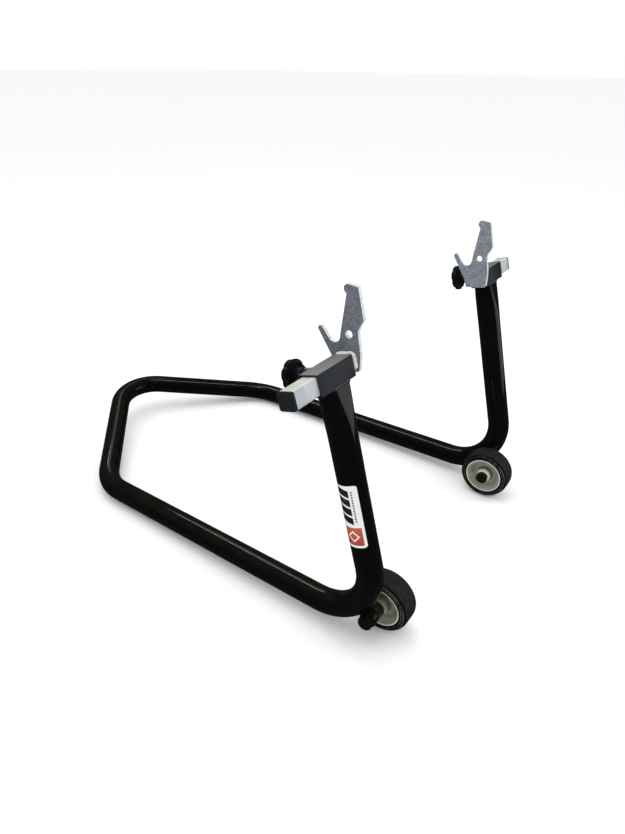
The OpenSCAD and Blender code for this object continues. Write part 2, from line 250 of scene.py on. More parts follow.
def in_sleeve(x, section, sign):
    """Points of the sleeve's cross-section, at distance x from the middle of the stand."""
    points = UPRIGHT_TOP + np.outer(section[:, 0], SLEEVE_Y) + np.outer(section[:, 1], SLEEVE_Z)
    points[:, 0] = sign * x
    return points


def square_ring(x, width, corner, sign):
    return in_sleeve(x, rounded_square(width, corner), sign)


def square_rings(stations, width, corner, sign, corner_growth=0.5):
    """Rings from (x, growth) stations; growth moves each wall outwards."""
    return [square_ring(x, width + 2 * growth, corner + growth * corner_growth, sign)
            for x, growth in stations]


# ---------------------------------------------------------------- meshes and objects
@contextmanager
def editing(mesh):
    edit = bmesh.new()
    edit.from_mesh(mesh)
    yield edit
    edit.to_mesh(mesh)
    edit.free()


def new_mesh(name, shape):
    points, faces = shape
    mesh = bpy.data.meshes.new(name)
    mesh.from_pydata((np.asarray(points) * MILLIMETRE).tolist(), [],
                     [tuple(int(i) for i in face) for face in faces])
    mesh.update()
    return mesh


def link_object(name, content):
    thing = bpy.data.objects.new(name, content)
    bpy.context.scene.collection.objects.link(thing)
    return thing


def shade(mesh, angle):
    """Smooth shading, sharp where faces meet at more than angle degrees."""
    mesh.shade_smooth()
    mesh.set_sharp_from_angle(angle=math.radians(angle))


def add(name, shape, body, slot, *materials, node=None, angle=32, uv=None, face_material=None):
    """Makes a piece. uv is per vertex; face_material is a material index per face."""
    mesh = new_mesh(name, shape)
    if uv is not None:
        layer = mesh.uv_layers.new(name="uv")
        for loop in mesh.loops:
            layer.data[loop.index].uv = uv[loop.vertex_index]
    for material in materials:
        mesh.materials.append(material)
    if face_material is not None:
        for polygon in mesh.polygons:
            polygon.material_index = face_material[polygon.index]
    with editing(mesh) as edit:
        bmesh.ops.recalc_face_normals(edit, faces=edit.faces)
    shade(mesh, angle)
    piece = link_object(name, mesh)
    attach(piece, body)
    if node:
        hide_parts(node)
    return piece


def volume(mesh):
    edit = bmesh.new()
    edit.from_mesh(mesh)
    result = edit.calc_volume(signed=True)
    edit.free()
    return result


def mirror_mesh(mesh):
    with editing(mesh) as edit:
        for vertex in edit.verts:
            vertex.co.x = -vertex.co.x
        bmesh.ops.reverse_faces(edit, faces=edit.faces)


def new_cutter(shape):
    mesh = new_mesh("cutter", shape)
    with editing(mesh) as edit:
        bmesh.ops.recalc_face_normals(edit, faces=edit.faces)
        if edit.calc_volume(signed=True) < 0:
            bmesh.ops.reverse_faces(edit, faces=edit.faces)
    return link_object("cutter", mesh)


def cut(piece, shape, angle=32):
    """Takes a closed shape out of a piece's mesh.

    A cut that comes out inside out is made again on mirrored copies.
    """
    before = volume(piece.data)
    for mirrored in (False, True):
        cutter = new_cutter(shape)
        work = link_object("cut_work", piece.data.copy())
        if mirrored:
            mirror_mesh(work.data)
            mirror_mesh(cutter.data)
        modifier = work.modifiers.new("cut", "BOOLEAN")
        modifier.operation = "DIFFERENCE"
        modifier.solver = "EXACT"
        modifier.object = cutter
        bpy.context.view_layer.update()
        graph = bpy.context.evaluated_depsgraph_get()
        mesh = bpy.data.meshes.new_from_object(work.evaluated_get(graph))
        bpy.data.objects.remove(work)
        bpy.data.objects.remove(cutter)
        if mirrored:
            mirror_mesh(mesh)
        if 0 < volume(mesh) < before:
            break
    else:
        raise RuntimeError("cut failed on " + piece.name)
    piece.data = mesh
    shade(mesh, angle)


# ---------------------------------------------------------------- shader nodes
class Surface:
    """A Principled material and short calls for the nodes that feed it."""

    def __init__(self, name):
        self.material = bpy.data.materials.new(name)
        self.material.use_nodes = True
        self.tree = self.material.node_tree
        self.tree.nodes.clear()
        self.output = self.node("OutputMaterial")
        self.shader = self.node("BsdfPrincipled")
        self.tree.links.new(self.shader.outputs[0], self.output.inputs[0])
        self.coords = self.node("TexCoord").outputs["Object"]

    def node(self, kind):
        return self.tree.nodes.new("ShaderNode" + kind)

    def put(self, socket, value):
        """Links a socket or sets a plain value."""
        if isinstance(value, bpy.types.NodeSocket):
            self.tree.links.new(value, socket)
        else:
            if socket.type == "RGBA" and len(value) == 3:
                value = (*value, 1)
            socket.default_value = value

    def finish(self, **values):
        """Sets the Principled inputs, with _ for spaces, and gives the material."""
        for name, value in values.items():
            self.put(self.shader.inputs[name.replace("_", " ")], value)
        return self.material

    def split(self, vector):
        node = self.node("SeparateXYZ")
        self.put(node.inputs[0], vector)
        return node.outputs

    def maths(self, operation, *values):
        node = self.node("Math")
        node.operation = operation
        for i, value in enumerate(values):
            self.put(node.inputs[i], value)
        return node.outputs[0]

    def times(self, first, second):
        return self.maths("MULTIPLY", first, second)

    def ease(self, value, span, to=(0.0, 1.0)):
        """Smooth step over span, mapped to the two values in to."""
        node = self.node("MapRange")
        node.interpolation_type = "SMOOTHSTEP"
        for i, number in enumerate((value, *span, *to)):
            self.put(node.inputs[i], number)
        return node.outputs[0]

    def window(self, value, rise, fall):
        """1 between the end of rise and the start of fall, 0 outside."""
        return self.times(self.ease(value, span=rise), self.ease(value, span=fall, to=(1, 0)))

    def band(self, value, low, high, soft=0.22):
        return self.window(value, (low - soft, low + soft), (high - soft, high + soft))

    def circle_line(self, distance, at, half, soft=0.0002):
        return self.window(distance, (at - half - soft, at - half), (at + half, at + half + soft))

    def normal_part(self, index):
        return self.split(self.node("NewGeometry").outputs["Normal"])[index]

    def facing_up(self, span):
        return self.ease(self.normal_part(2), span=span)

    def axle_distance(self):
        """Distance from the axle line, in metres."""
        y = self.maths("SUBTRACT", self.split(self.coords)[1], AXLE_Y * MILLIMETRE)
        z = self.maths("SUBTRACT", self.split(self.coords)[2], AXLE_Z * MILLIMETRE)
        return self.maths("SQRT", self.maths("ADD", self.times(y, y), self.times(z, z)))

    def noise(self, scale, detail=3, rough=0.5, stretch=None, distort=0.0):
        vector = self.coords
        if stretch:
            multiply = self.node("VectorMath")
            multiply.operation = "MULTIPLY"
            self.put(multiply.inputs[0], vector)
            multiply.inputs[1].default_value = stretch
            vector = multiply.outputs[0]
        node = self.node("TexNoise")
        self.put(node.inputs["Vector"], vector)
        node.inputs["Scale"].default_value = scale
        node.inputs["Detail"].default_value = detail
        node.inputs["Roughness"].default_value = rough
        node.inputs["Distortion"].default_value = distort
        return node.outputs[0]

    def cells(self, scale, output="Distance"):
        node = self.node("TexVoronoi")
        self.put(node.inputs["Vector"], self.coords)
        node.inputs["Scale"].default_value = scale
        return node.outputs[output]

    def ramp(self, amount, stops):
        """Colour ramp from (position, colour) stops."""
        node = self.node("ValToRGB")
        self.put(node.inputs[0], amount)
        elements = node.color_ramp.elements
        while len(elements) < len(stops):
            elements.new(0.5)
        for k, (position, colour) in enumerate(stops):
            elements[k].position = position
            elements[k].color = (*colour, 1)
        return node.outputs[0]

    def mix(self, amount, base, top, strength=None):
        """Base where amount is 0, top where it is 1; strength scales amount."""
        if strength is not None:
            amount = self.times(amount, strength)
        node = self.node("Mix")
        node.data_type = "RGBA"
        self.put(node.inputs[0], amount)
        self.put(node.inputs[6], base)
        self.put(node.inputs[7], top)
        return node.outputs[2]

    def bump(self, height, strength, depth=0.0003, under=None):
        node = self.node("Bump")
        node.inputs["Strength"].default_value = strength
        node.inputs["Distance"].default_value = depth
        self.put(node.inputs["Height"], height)
        if under is not None:
            self.put(node.inputs["Normal"], under)
        return node.outputs[0]

    def openness(self, distance):
        """Ambient occlusion: 1 in the open, less in corners."""
        node = self.node("AmbientOcclusion")
        node.samples = 6
        node.inputs["Distance"].default_value = distance
        return node.outputs["AO"]

    def edge(self, width):
        """1 on edges, by the difference between the bevelled and the plain normal."""
        bevel = self.node("Bevel")
        bevel.samples = 4
        bevel.inputs["Radius"].default_value = width
        plain = self.node("NewGeometry")
        dot = self.node("VectorMath")
        dot.operation = "DOT_PRODUCT"
        self.put(dot.inputs[0], bevel.outputs[0])
        self.put(dot.inputs[1], plain.outputs["Normal"])
        return self.ease(dot.outputs["Value"], span=(0.995, 0.9))


# ---------------------------------------------------------------- materials
def frame_paint():
    """Gloss black enamel: slight orange peel, brown dust and a painted brownish sheen on upward
    faces, fine rub marks.
    """
    mat = Surface("frame_paint")
    dust = mat.ease(mat.noise(scale=9, detail=5, rough=0.6), span=(0.42, 0.75))
    fine = mat.noise(scale=420, detail=2, rough=0.6)
    speck = mat.ease(mat.cells(scale=330), span=(0.0, 0.11), to=(1, 0))
    scuff = mat.ease(mat.noise(scale=60, detail=6, rough=0.7, stretch=(1, 0.25, 1.6),
                               distort=0.6), span=(0.6, 0.72))
    colour = mat.mix(dust, base=(0.0010, 0.0012, 0.0014), top=(0.0021, 0.0021, 0.0020))
    # painted sheen, partly dust: upward faces take a brownish colour, broken up by noise, in place
    # of reflected light
    upward_faces = mat.facing_up(span=(0.35, 1.0))
    top_dust_and_sheen = mat.times(upward_faces, mat.ease(mat.noise(scale=45, detail=5, rough=0.65),
                                        span=(0.3, 0.7), to=(0.35, 1)))
    colour = mat.mix(top_dust_and_sheen, colour, top=(0.0100, 0.0096, 0.0062), strength=0.8)
    colour = mat.mix(speck, colour, top=(0.05, 0.045, 0.035), strength=0.10)
    colour = mat.mix(scuff, colour, top=(0.009, 0.0085, 0.007), strength=0.30)
    scuff_roughness = 0.08
    roughness = mat.maths("ADD", mat.ease(dust, span=(0, 1), to=(0.09, 0.15)),
                          mat.times(scuff, scuff_roughness))
    peel = mat.bump(mat.noise(scale=150, detail=2, rough=0.4), strength=0.10, depth=0.0006)
    return mat.finish(Base_Color=colour, Roughness=roughness, Coat_Weight=0.55,
                      Coat_Roughness=0.05, Specular_IOR_Level=0.45,
                      Normal=mat.bump(fine, strength=0.04, under=peel))


def sleeve_paint():
    """Satin black powder coat: a painted sheen on upward faces, mottled like dust, a painted
    highlight along the edges and painted shade on faces across X.
    """
    mat = Surface("sleeve_paint")
    grain = mat.noise(scale=900, detail=2, rough=0.7)
    cloud = mat.noise(scale=28, detail=4, rough=0.6)
    colour = mat.mix(cloud, base=(0.015, 0.018, 0.023), top=(0.027, 0.030, 0.036))
    # painted sheen: upward faces are made much paler, mottled like dust, in place of a reflection
    dust = mat.mix(mat.noise(scale=240, detail=5, rough=0.7),
                   base=(0.155, 0.165, 0.165), top=(0.235, 0.240, 0.230))
    colour = mat.mix(mat.facing_up(span=(0.86, 0.94)), colour, dust)
    # painted highlight: the edges are lightened
    colour = mat.mix(mat.edge(width=0.0007), colour, top=(0.22, 0.23, 0.24), strength=0.5)
    # painted shade: faces across X are darkened
    across = mat.maths("ABSOLUTE", mat.normal_part(0))
    colour = mat.mix(mat.ease(across, span=(0.80, 0.95)), colour, top=(0.0025, 0.0027, 0.0032))
    waves = mat.bump(mat.noise(scale=160, detail=2), strength=0.06, depth=0.0005)
    return mat.finish(Base_Color=colour, Specular_IOR_Level=0.4,
                      Roughness=mat.ease(cloud, span=(0.3, 0.7), to=(0.36, 0.48)),
                      Normal=mat.bump(grain, strength=0.16, under=waves))


def bright_zinc():
    """Bright zinc on drawn tube: lengthwise draw lines and pale clouds, with a warmer, paler
    painted reflection on upward faces.
    """
    mat = Surface("bright_zinc")
    lines = mat.noise(scale=90, detail=4, rough=0.65, stretch=(0.35, 14, 14))
    cloud = mat.noise(scale=45, detail=4, rough=0.6, distort=0.4)
    colour = mat.mix(mat.ease(cloud, span=(0.35, 0.68)),
                     base=(0.46, 0.51, 0.54), top=(0.60, 0.64, 0.65))
    # painted reflection: upward faces get this warmer, paler colour
    warm = mat.mix(mat.ease(cloud, span=(0.35, 0.68)),
                   base=(0.74, 0.75, 0.62), top=(0.86, 0.86, 0.74))
    colour = mat.mix(mat.facing_up(span=(0.86, 0.94)), colour, warm)
    colour = mat.mix(mat.ease(lines, span=(0.55, 0.75), to=(0, 0.35)), colour,
                     top=(0.36, 0.38, 0.40))
    return mat.finish(Base_Color=colour, Metallic=0.25,
                      Roughness=mat.ease(cloud, span=(0.3, 0.7), to=(0.26, 0.40)),
                      Normal=mat.bump(lines, strength=0.10))


def zinc_plate():
    """Mottled zinc: grains of grey, blue and brown, with pinholes. Painted light: the left plate
    is a paler, lit copy and the right plate a darker, shaded copy.
    """
    mat = Surface("zinc_plate")
    whole, fine_share, grain_share = 1.0, 0.7, 0.3
    grain = mat.times(mat.cells(scale=520, output="Color"), whole)
    fine = mat.noise(scale=620, detail=4, rough=0.75)
    blot = mat.noise(scale=70, detail=5, rough=0.65, distort=0.8)
    tint = mat.noise(scale=38, detail=3, rough=0.5)
    mottle = mat.maths("ADD", mat.times(fine, fine_share), mat.times(grain, grain_share))
    # painted light: one mottle, darker for the right plate as shade and paler for the left plate
    # as light
    shaded_right_plate = mat.ramp(mottle, stops=[(0.30, (0.10, 0.115, 0.13)), (0.50, (0.17, 0.19, 0.215)),
                                   (0.66, (0.27, 0.30, 0.33)), (0.80, (0.55, 0.59, 0.62))])
    lit_left_plate = mat.ramp(mottle, stops=[(0.30, (0.13, 0.155, 0.18)), (0.50, (0.25, 0.285, 0.33)),
                                   (0.64, (0.42, 0.46, 0.50)), (0.76, (0.78, 0.82, 0.85))])
    left = mat.ease(mat.split(mat.coords)[0], span=(-0.02, 0.02), to=(1, 0))
    colour = mat.mix(left, shaded_right_plate, lit_left_plate)
    colour = mat.mix(mat.ease(blot, span=(0.42, 0.7), to=(0, 0.6)), colour,
                     top=(0.16, 0.185, 0.215))
    colour = mat.mix(mat.ease(tint, span=(0.45, 0.7), to=(0, 0.30)), colour,
                     top=(0.24, 0.225, 0.19))
    star = mat.ease(mat.cells(scale=430), span=(0.10, 0.24), to=(1, 0))
    star = mat.times(star, mat.ease(mat.noise(scale=150, detail=3, rough=0.6),
                                    span=(0.40, 0.60), to=(0.1, 0.85)))
    colour = mat.mix(star, colour, top=(0.66, 0.70, 0.72))
    pit = mat.ease(mat.cells(scale=260), span=(0.0, 0.09), to=(1, 0))
    skin = mat.bump(fine, strength=0.30, depth=0.0004)
    return mat.finish(Base_Color=colour, Metallic=0.25,
                      Roughness=mat.ease(fine, span=(0.3, 0.7), to=(0.36, 0.58)),
                      Normal=mat.bump(pit, strength=-0.3, under=skin))


def zinc_cut_edge():
    """Flame-cut edge of the plates: drag lines across the thickness, brighter than the faces."""
    mat = Surface("zinc_cut_edge")
    drag = mat.noise(scale=260, detail=3, rough=0.6, stretch=(0.12, 3.2, 3.2))
    colour = mat.mix(mat.ease(drag, span=(0.35, 0.65)),
                     base=(0.58, 0.62, 0.66), top=(0.84, 0.87, 0.88))
    return mat.finish(Base_Color=colour, Metallic=0.15,
                      Roughness=mat.ease(drag, span=(0.3, 0.7), to=(0.30, 0.5)),
                      Normal=mat.bump(drag, strength=0.35))


def weld_metal():
    """Zinc-covered weld metal, mottled bright and grey with straw patches."""
    mat = Surface("weld_metal")
    grain = mat.noise(scale=680, detail=5, rough=0.8)
    straw = mat.noise(scale=130, detail=3, rough=0.6)
    colour = mat.mix(mat.ease(grain, span=(0.38, 0.60)),
                     base=(0.50, 0.50, 0.48), top=(1.0, 1.0, 1.0))
    colour = mat.mix(mat.ease(straw, span=(0.55, 0.75), to=(0, 0.25)), colour,
                     top=(0.50, 0.46, 0.34))
    return mat.finish(Base_Color=colour, Metallic=0.0,
                      Roughness=mat.ease(grain, span=(0.3, 0.7), to=(0.25, 0.5)),
                      Normal=mat.bump(grain, strength=0.6, depth=0.0006))


def knob_plastic():
    """Black moulded nylon, matt skin polished where hands turn it; the polished edges are also
    painted lighter as a highlight.
    """
    mat = Surface("knob_plastic")
    skin = mat.noise(scale=1100, detail=2, rough=0.6)
    polish_and_sheen = mat.edge(width=0.0012)
    grime = mat.noise(scale=90, detail=4, rough=0.6)
    colour = mat.mix(grime, base=(0.0025, 0.0026, 0.0032), top=(0.0075, 0.0072, 0.0078))
    # painted highlight: the polished edges are also lightened
    colour = mat.mix(polish_and_sheen, colour, top=(0.075, 0.075, 0.078), strength=0.6)
    return mat.finish(Base_Color=colour, Specular_IOR_Level=0.5,
                      Roughness=mat.ease(polish_and_sheen, span=(0, 1), to=(0.42, 0.28)),
                      Normal=mat.bump(skin, strength=0.14))


def plug_plastic():
    """Black polyethylene with scratches and pale dust."""
    mat = Surface("plug_plastic")
    scratch = mat.ease(mat.noise(scale=300, detail=5, rough=0.7, stretch=(1, 5, 0.6),
                                 distort=0.8), span=(0.62, 0.72))
    dust = mat.noise(scale=180, detail=4, rough=0.7)
    colour = mat.mix(dust, base=(0.006, 0.007, 0.010), top=(0.018, 0.020, 0.026))
    colour = mat.mix(scratch, colour, top=(0.09, 0.09, 0.10), strength=0.4)
    skin = mat.bump(mat.noise(scale=700, detail=2), strength=0.10)
    return mat.finish(Base_Color=colour,
                      Roughness=mat.ease(dust, span=(0.3, 0.7), to=(0.42, 0.6)),
                      Normal=mat.bump(scratch, strength=-0.12, under=skin))


def insert_brass():
    mat = Surface("insert_brass")
    grain = mat.noise(scale=400, detail=4, rough=0.6)
    colour = mat.mix(grain, base=(0.50, 0.35, 0.12), top=(0.78, 0.60, 0.26))
    return mat.finish(Base_Color=colour, Metallic=1.0,
                      Roughness=mat.ease(grain, span=(0.3, 0.7), to=(0.25, 0.42)),
                      Normal=mat.bump(grain, strength=0.12))


def plated_fastener():
    """Plated screws and the small plated parts kept from the CAD."""
    mat = Surface("plated_fastener")
    grain = mat.noise(scale=300, detail=4, rough=0.65)
    colour = mat.mix(mat.ease(grain, span=(0.35, 0.7)),
                     base=(0.50, 0.51, 0.50), top=(0.78, 0.78, 0.75))
    return mat.finish(Base_Color=colour, Metallic=0.95,
                      Roughness=mat.ease(grain, span=(0.3, 0.7), to=(0.24, 0.45)),
                      Normal=mat.bump(grain, strength=0.12))


def black_steel():
    """Black oxide, worn to steel at the corners, a little rust brown."""
    mat = Surface("black_steel")
    grain = mat.noise(scale=260, detail=5, rough=0.7)
    wear = mat.edge(width=0.0005)
    wear = mat.times(wear, mat.ease(mat.noise(scale=500), span=(0.4, 0.6), to=(0.1, 1)))
    colour = mat.mix(grain, base=(0.0022, 0.0022, 0.0024), top=(0.0085, 0.0078, 0.0070))
    rust = mat.ease(mat.noise(scale=120, detail=4), span=(0.58, 0.75), to=(0, 0.5))
    colour = mat.mix(rust, colour, top=(0.022, 0.012, 0.007))
    colour = mat.mix(wear, colour, top=(0.16, 0.16, 0.155), strength=0.35)
    return mat.finish(Base_Color=colour, Metallic=0.2,
                      Roughness=mat.ease(grain, span=(0.3, 0.7), to=(0.30, 0.5)),
                      Normal=mat.bump(grain, strength=0.22))


def hub_plastic():
    """Grey-green nylon: flow marks, grime and painted shade in the corners and in a ring near the
    boss's root, a cream boss and pale edges.
    """
    mat = Surface("hub_plastic")
    openness = mat.openness(distance=0.012)
    flow = mat.noise(scale=60, detail=5, rough=0.6, distort=0.9)
    fine = mat.noise(scale=700, detail=3, rough=0.7)
    distance = mat.axle_distance()
    colour = mat.mix(mat.ease(flow, span=(0.3, 0.7)),
                     base=(0.235, 0.235, 0.180), top=(0.345, 0.345, 0.275))
    colour = mat.mix(mat.ease(distance, span=(0.0106, 0.0113), to=(1, 0)), colour,
                     top=(0.56, 0.56, 0.43))
    # grime and painted shade: darkened where ambient occlusion finds corners
    dirt = mat.ease(openness, span=(0.82, 0.40))
    dirt = mat.times(dirt, mat.ease(mat.noise(scale=110, detail=5, rough=0.7),
                                    span=(0.3, 0.62), to=(0.45, 1)))
    colour = mat.mix(dirt, colour, top=(0.040, 0.036, 0.020), strength=0.80)
    # grime and painted shade: a dark ring near the boss's root
    colour = mat.mix(mat.circle_line(distance, at=0.0127, half=0.0006, soft=0.0009), colour,
                     top=(0.035, 0.033, 0.018), strength=0.60)
    colour = mat.mix(mat.edge(width=0.0008), colour, top=(0.60, 0.60, 0.52), strength=0.5)
    return mat.finish(Base_Color=colour, Specular_IOR_Level=0.45,
                      Roughness=mat.ease(flow, span=(0.3, 0.7), to=(0.38, 0.55)),
                      Normal=mat.bump(fine, strength=0.12))


def hub_lip_painted_lit():
    mat = Surface("hub_lip_painted_lit")
    grime = mat.noise(scale=220, detail=5, rough=0.65)
    # painted light: the hub's plastic as a much paler, lit copy for the lips, with grime
    colour = mat.mix(mat.ease(grime, span=(0.55, 0.75)),
                     base=(0.62, 0.63, 0.56), top=(0.30, 0.29, 0.22))
    return mat.finish(Base_Color=colour,
                      Roughness=mat.ease(grime, span=(0.3, 0.7), to=(0.30, 0.5)),
                      Normal=mat.bump(grime, strength=0.10))


def tyre_rubber():
    """Hard black rubber: rolled-in dust on the tread, black sidewalls with painted highlights as
    broken pale lines on the steps.
    """
    mat = Surface("tyre_rubber")
    distance = mat.axle_distance()
    tread = mat.ease(distance, span=(0.0378, 0.0394))
    dust = mat.noise(scale=240, detail=6, rough=0.75, distort=0.3)
    streak = mat.noise(scale=160, detail=4, rough=0.7, stretch=(5, 0.8, 0.8))
    colour = mat.mix(mat.ease(dust, span=(0.35, 0.68)),
                     base=(0.0012, 0.0013, 0.0010), top=(0.0034, 0.0032, 0.0027))
    broken = mat.ease(mat.noise(scale=75, detail=3, rough=0.6), span=(0.38, 0.58),
                      to=(0.15, 1))
    # painted highlights: broken pale rings on the sidewall steps
    step_highlight = mat.circle_line(distance, at=0.0331, half=0.0004)
    colour = mat.mix(mat.times(step_highlight, broken), colour, top=(0.085, 0.085, 0.080))
    step_highlight = mat.circle_line(distance, at=0.0361, half=0.0005)
    colour = mat.mix(mat.times(step_highlight, broken), colour, top=(0.070, 0.070, 0.066))
    dusty = mat.mix(mat.ease(streak, span=(0.35, 0.65)),
                    base=(0.010, 0.0105, 0.0100), top=(0.027, 0.0275, 0.0265))
    worn = mat.times(tread, mat.ease(dust, span=(0.3, 0.65), to=(0.45, 1)))
    colour = mat.mix(worn, colour, dusty)
    grit = mat.ease(mat.cells(scale=480), span=(0.0, 0.10), to=(1, 0))
    grit_share = 0.30
    colour = mat.mix(mat.times(grit, mat.times(tread, grit_share)), colour,
                     top=(0.10, 0.095, 0.080))
    streaks = mat.bump(streak, strength=0.20)
    return mat.finish(Base_Color=colour, Specular_IOR_Level=0.30,
                      Roughness=mat.ease(tread, span=(0, 1), to=(0.42, 0.72)),
                      Normal=mat.bump(dust, strength=0.30, depth=0.0004, under=streaks))


UV_UNIT = 100.0     # millimetres per UV unit on the label


def label_film():
    """Printed film: plain blocks, no lettering. u runs round the tube and v up it, in mm."""
    mat = Surface("label_film")
    uv_map = mat.node("UVMap")
    uv_map.uv_map = "uv"
    across, along = mat.split(uv_map.outputs[0])[:2]
    u = mat.times(across, UV_UNIT)
    v = mat.times(along, UV_UNIT)
    paper = mat.mix(mat.noise(scale=160, detail=4, rough=0.6),
                    base=(0.74, 0.75, 0.76), top=(0.84, 0.84, 0.83))
    # row of four slanted black blocks along the upper part
    slant, block_start, block_pitch = 0.32, 31.0, 11.6
    slanted = mat.maths("ADD", v, mat.times(u, slant))
    from_start = mat.maths("SUBTRACT", slanted, block_start)
    cell = mat.maths("FRACT", mat.maths("DIVIDE", from_start, block_pitch))
    blocks = mat.times(mat.band(cell, low=0.09, high=0.88, soft=0.02),
                       mat.band(slanted, low=block_start, high=77.0))
    blocks = mat.times(blocks, mat.band(u, low=-11.6, high=3.9))
    # a row of short dashes beside them
    dash_pitch = 3.4
    cell = mat.maths("FRACT", mat.maths("DIVIDE", v, dash_pitch))
    dashes = mat.times(mat.band(cell, low=0.15, high=0.72, soft=0.05),
                       mat.band(u, low=6.2, high=8.2, soft=0.15))
    dashes = mat.times(dashes, mat.band(v, low=33.0, high=74.0))
    colour = mat.mix(mat.maths("MAXIMUM", blocks, dashes), paper, top=(0.012, 0.012, 0.014))
    # warm panel at the lower end with a plain diamond outline
    panel_start, panel_end = 3.0, 27.0
    panel = mat.times(mat.band(u, low=-11.4, high=11.4),
                      mat.band(v, low=panel_start, high=panel_end))
    warm = mat.mix(mat.ease(v, span=(panel_start, panel_end)),
                   base=(0.40, 0.048, 0.024), top=(0.50, 0.105, 0.045))
    colour = mat.mix(panel, colour, warm)
    panel_middle = (panel_start + panel_end) / 2
    diamond = mat.maths("ADD", mat.maths("ABSOLUTE", u),
                        mat.maths("ABSOLUTE", mat.maths("SUBTRACT", v, panel_middle)))
    colour = mat.mix(mat.band(diamond, low=5.4, high=7.6), colour, top=(0.84, 0.84, 0.83))
    dirt = mat.ease(mat.noise(scale=90, detail=5, rough=0.7), span=(0.55, 0.8), to=(0, 0.25))
    colour = mat.mix(dirt, colour, top=(0.40, 0.38, 0.34))
    return mat.finish(Base_Color=colour, Coat_Weight=0.3, Coat_Roughness=0.15,
                      Roughness=mat.ease(mat.noise(scale=60), span=(0.3, 0.7), to=(0.26, 0.4)),
                      Normal=mat.bump(mat.noise(scale=220), strength=0.05))


PAINT = frame_paint()
SATIN = sleeve_paint()
ZINC = bright_zinc()
PLATE = zinc_plate()
EDGE = zinc_cut_edge()
WELD = weld_metal()
KNOB = knob_plastic()
PLUG = plug_plastic()
BRASS = insert_brass()
PLATED = plated_fastener()
BLACK = black_steel()
HUB = hub_plastic()
LIT_LIP = hub_lip_painted_lit()
TYRE = tyre_rubber()
LABEL = label_film()


# ---------------------------------------------------------------- frame tube
def bend(before, corner, after, radius):
    back, ahead = unit(before - corner), unit(after - corner)
    half = math.acos(float(back @ ahead)) / 2
    centre = corner + unit(back + ahead) * radius / math.sin(half)
    reach = radius / math.tan(half)
    return swing(centre, corner + back * reach - centre, corner + ahead * reach - centre, radius)


def centre_line():
    """From the top of the right upright round to the top of the left one."""
    right = [UPRIGHT_TOP - UPRIGHT_AXIS * down for down in np.arange(8, 84, 2.0)]
    right += bend(UPRIGHT_TOP, HEEL, FLOOR_CORNER, HEEL_BEND)
    right += bend(HEEL, FLOOR_CORNER, END_CORNER, FLOOR_BEND)
    closed_end = bend(FLOOR_CORNER, END_CORNER, FLOOR_CORNER * MIRROR, END_BEND)
    return np.array(right + closed_end + [point * MIRROR for point in right[::-1]])


def pressed_ring(point, heading, directions, radius, share):
    """Ring of an upright pressed flat towards the sleeve: share 0 at the start, 1 near its end."""
    flat_axis = unit(np.cross(heading, X_AXIS))
    eased = min(max(share, 0), 1)
    widening = 1 + 0.175 * (eased * eased * (3 - 2 * eased))
    limit = 18.6 - 5.8 * max(share, 0) - (TUBE_RADIUS - radius)
    depth = radius * (directions @ flat_axis)
    # soft minimum of the round depth and the flat's limit
    sharpness = 1.9
    soft = np.exp(-sharpness * np.abs(depth)) + math.exp(-sharpness * limit)
    depth = np.sign(depth) * np.maximum(-np.log(soft) / sharpness, 0)
    width = radius * (directions @ X_AXIS) * widening
    return point + np.outer(width, X_AXIS) + np.outer(depth, flat_axis)


def tube_shape():
    pressing_start, pressing_length = 267.5, 62.0   # up the upright from the heel
    path = centre_line()
    headings = np.gradient(path, axis=0)
    headings /= np.linalg.norm(headings, axis=1)[:, None]
    angles = full_turn(80)
    normal = X_AXIS
    outer, inner = [], []
    walls = ((TUBE_RADIUS, outer), (TUBE_RADIUS - TUBE_WALL, inner))
    for point, heading in zip(path, headings):
        normal = carry(normal, heading)
        directions = spokes(angles, normal, heading)
        sign = 1.0 if point[0] > 0 else -1.0
        along = (point * [sign, 1, 1] - HEEL) @ UPRIGHT_AXIS
        share = (along - pressing_start) / pressing_length
        pressed = point[2] > 150 and share > -0.05
        for radius, rings in walls:
            rings.append(pressed_ring(point, heading, directions, radius, share) if pressed
                         else point + radius * directions)
    # both ends stop on the underside of their sleeve
    for end, sign in ((0, 1), (-1, -1)):
        for rings in (outer, inner):
            gap = (rings[end] - UPRIGHT_TOP * [sign, 1, 1]) @ SLEEVE_Z + SLEEVE_HALF
            rings[end] = rings[end] - np.outer(gap / (UPRIGHT_AXIS @ SLEEVE_Z), UPRIGHT_AXIS)
    return loft(outer + inner[::-1], loop=True)


def build_tube():
    bush_clearance, hole_start, hole_end = 0.02, 189, 249
    tube = add("frame_tube_skin", tube_shape(), "frame", "frame_paint", PAINT,
               node="frame_tube", angle=40)
    for sign in (1, -1):
        hole = cylinder(BUSH_RADIUS + bush_clearance, hole_start, hole_end, 64)
        cut(tube, on_axle(hole, sign), angle=40)


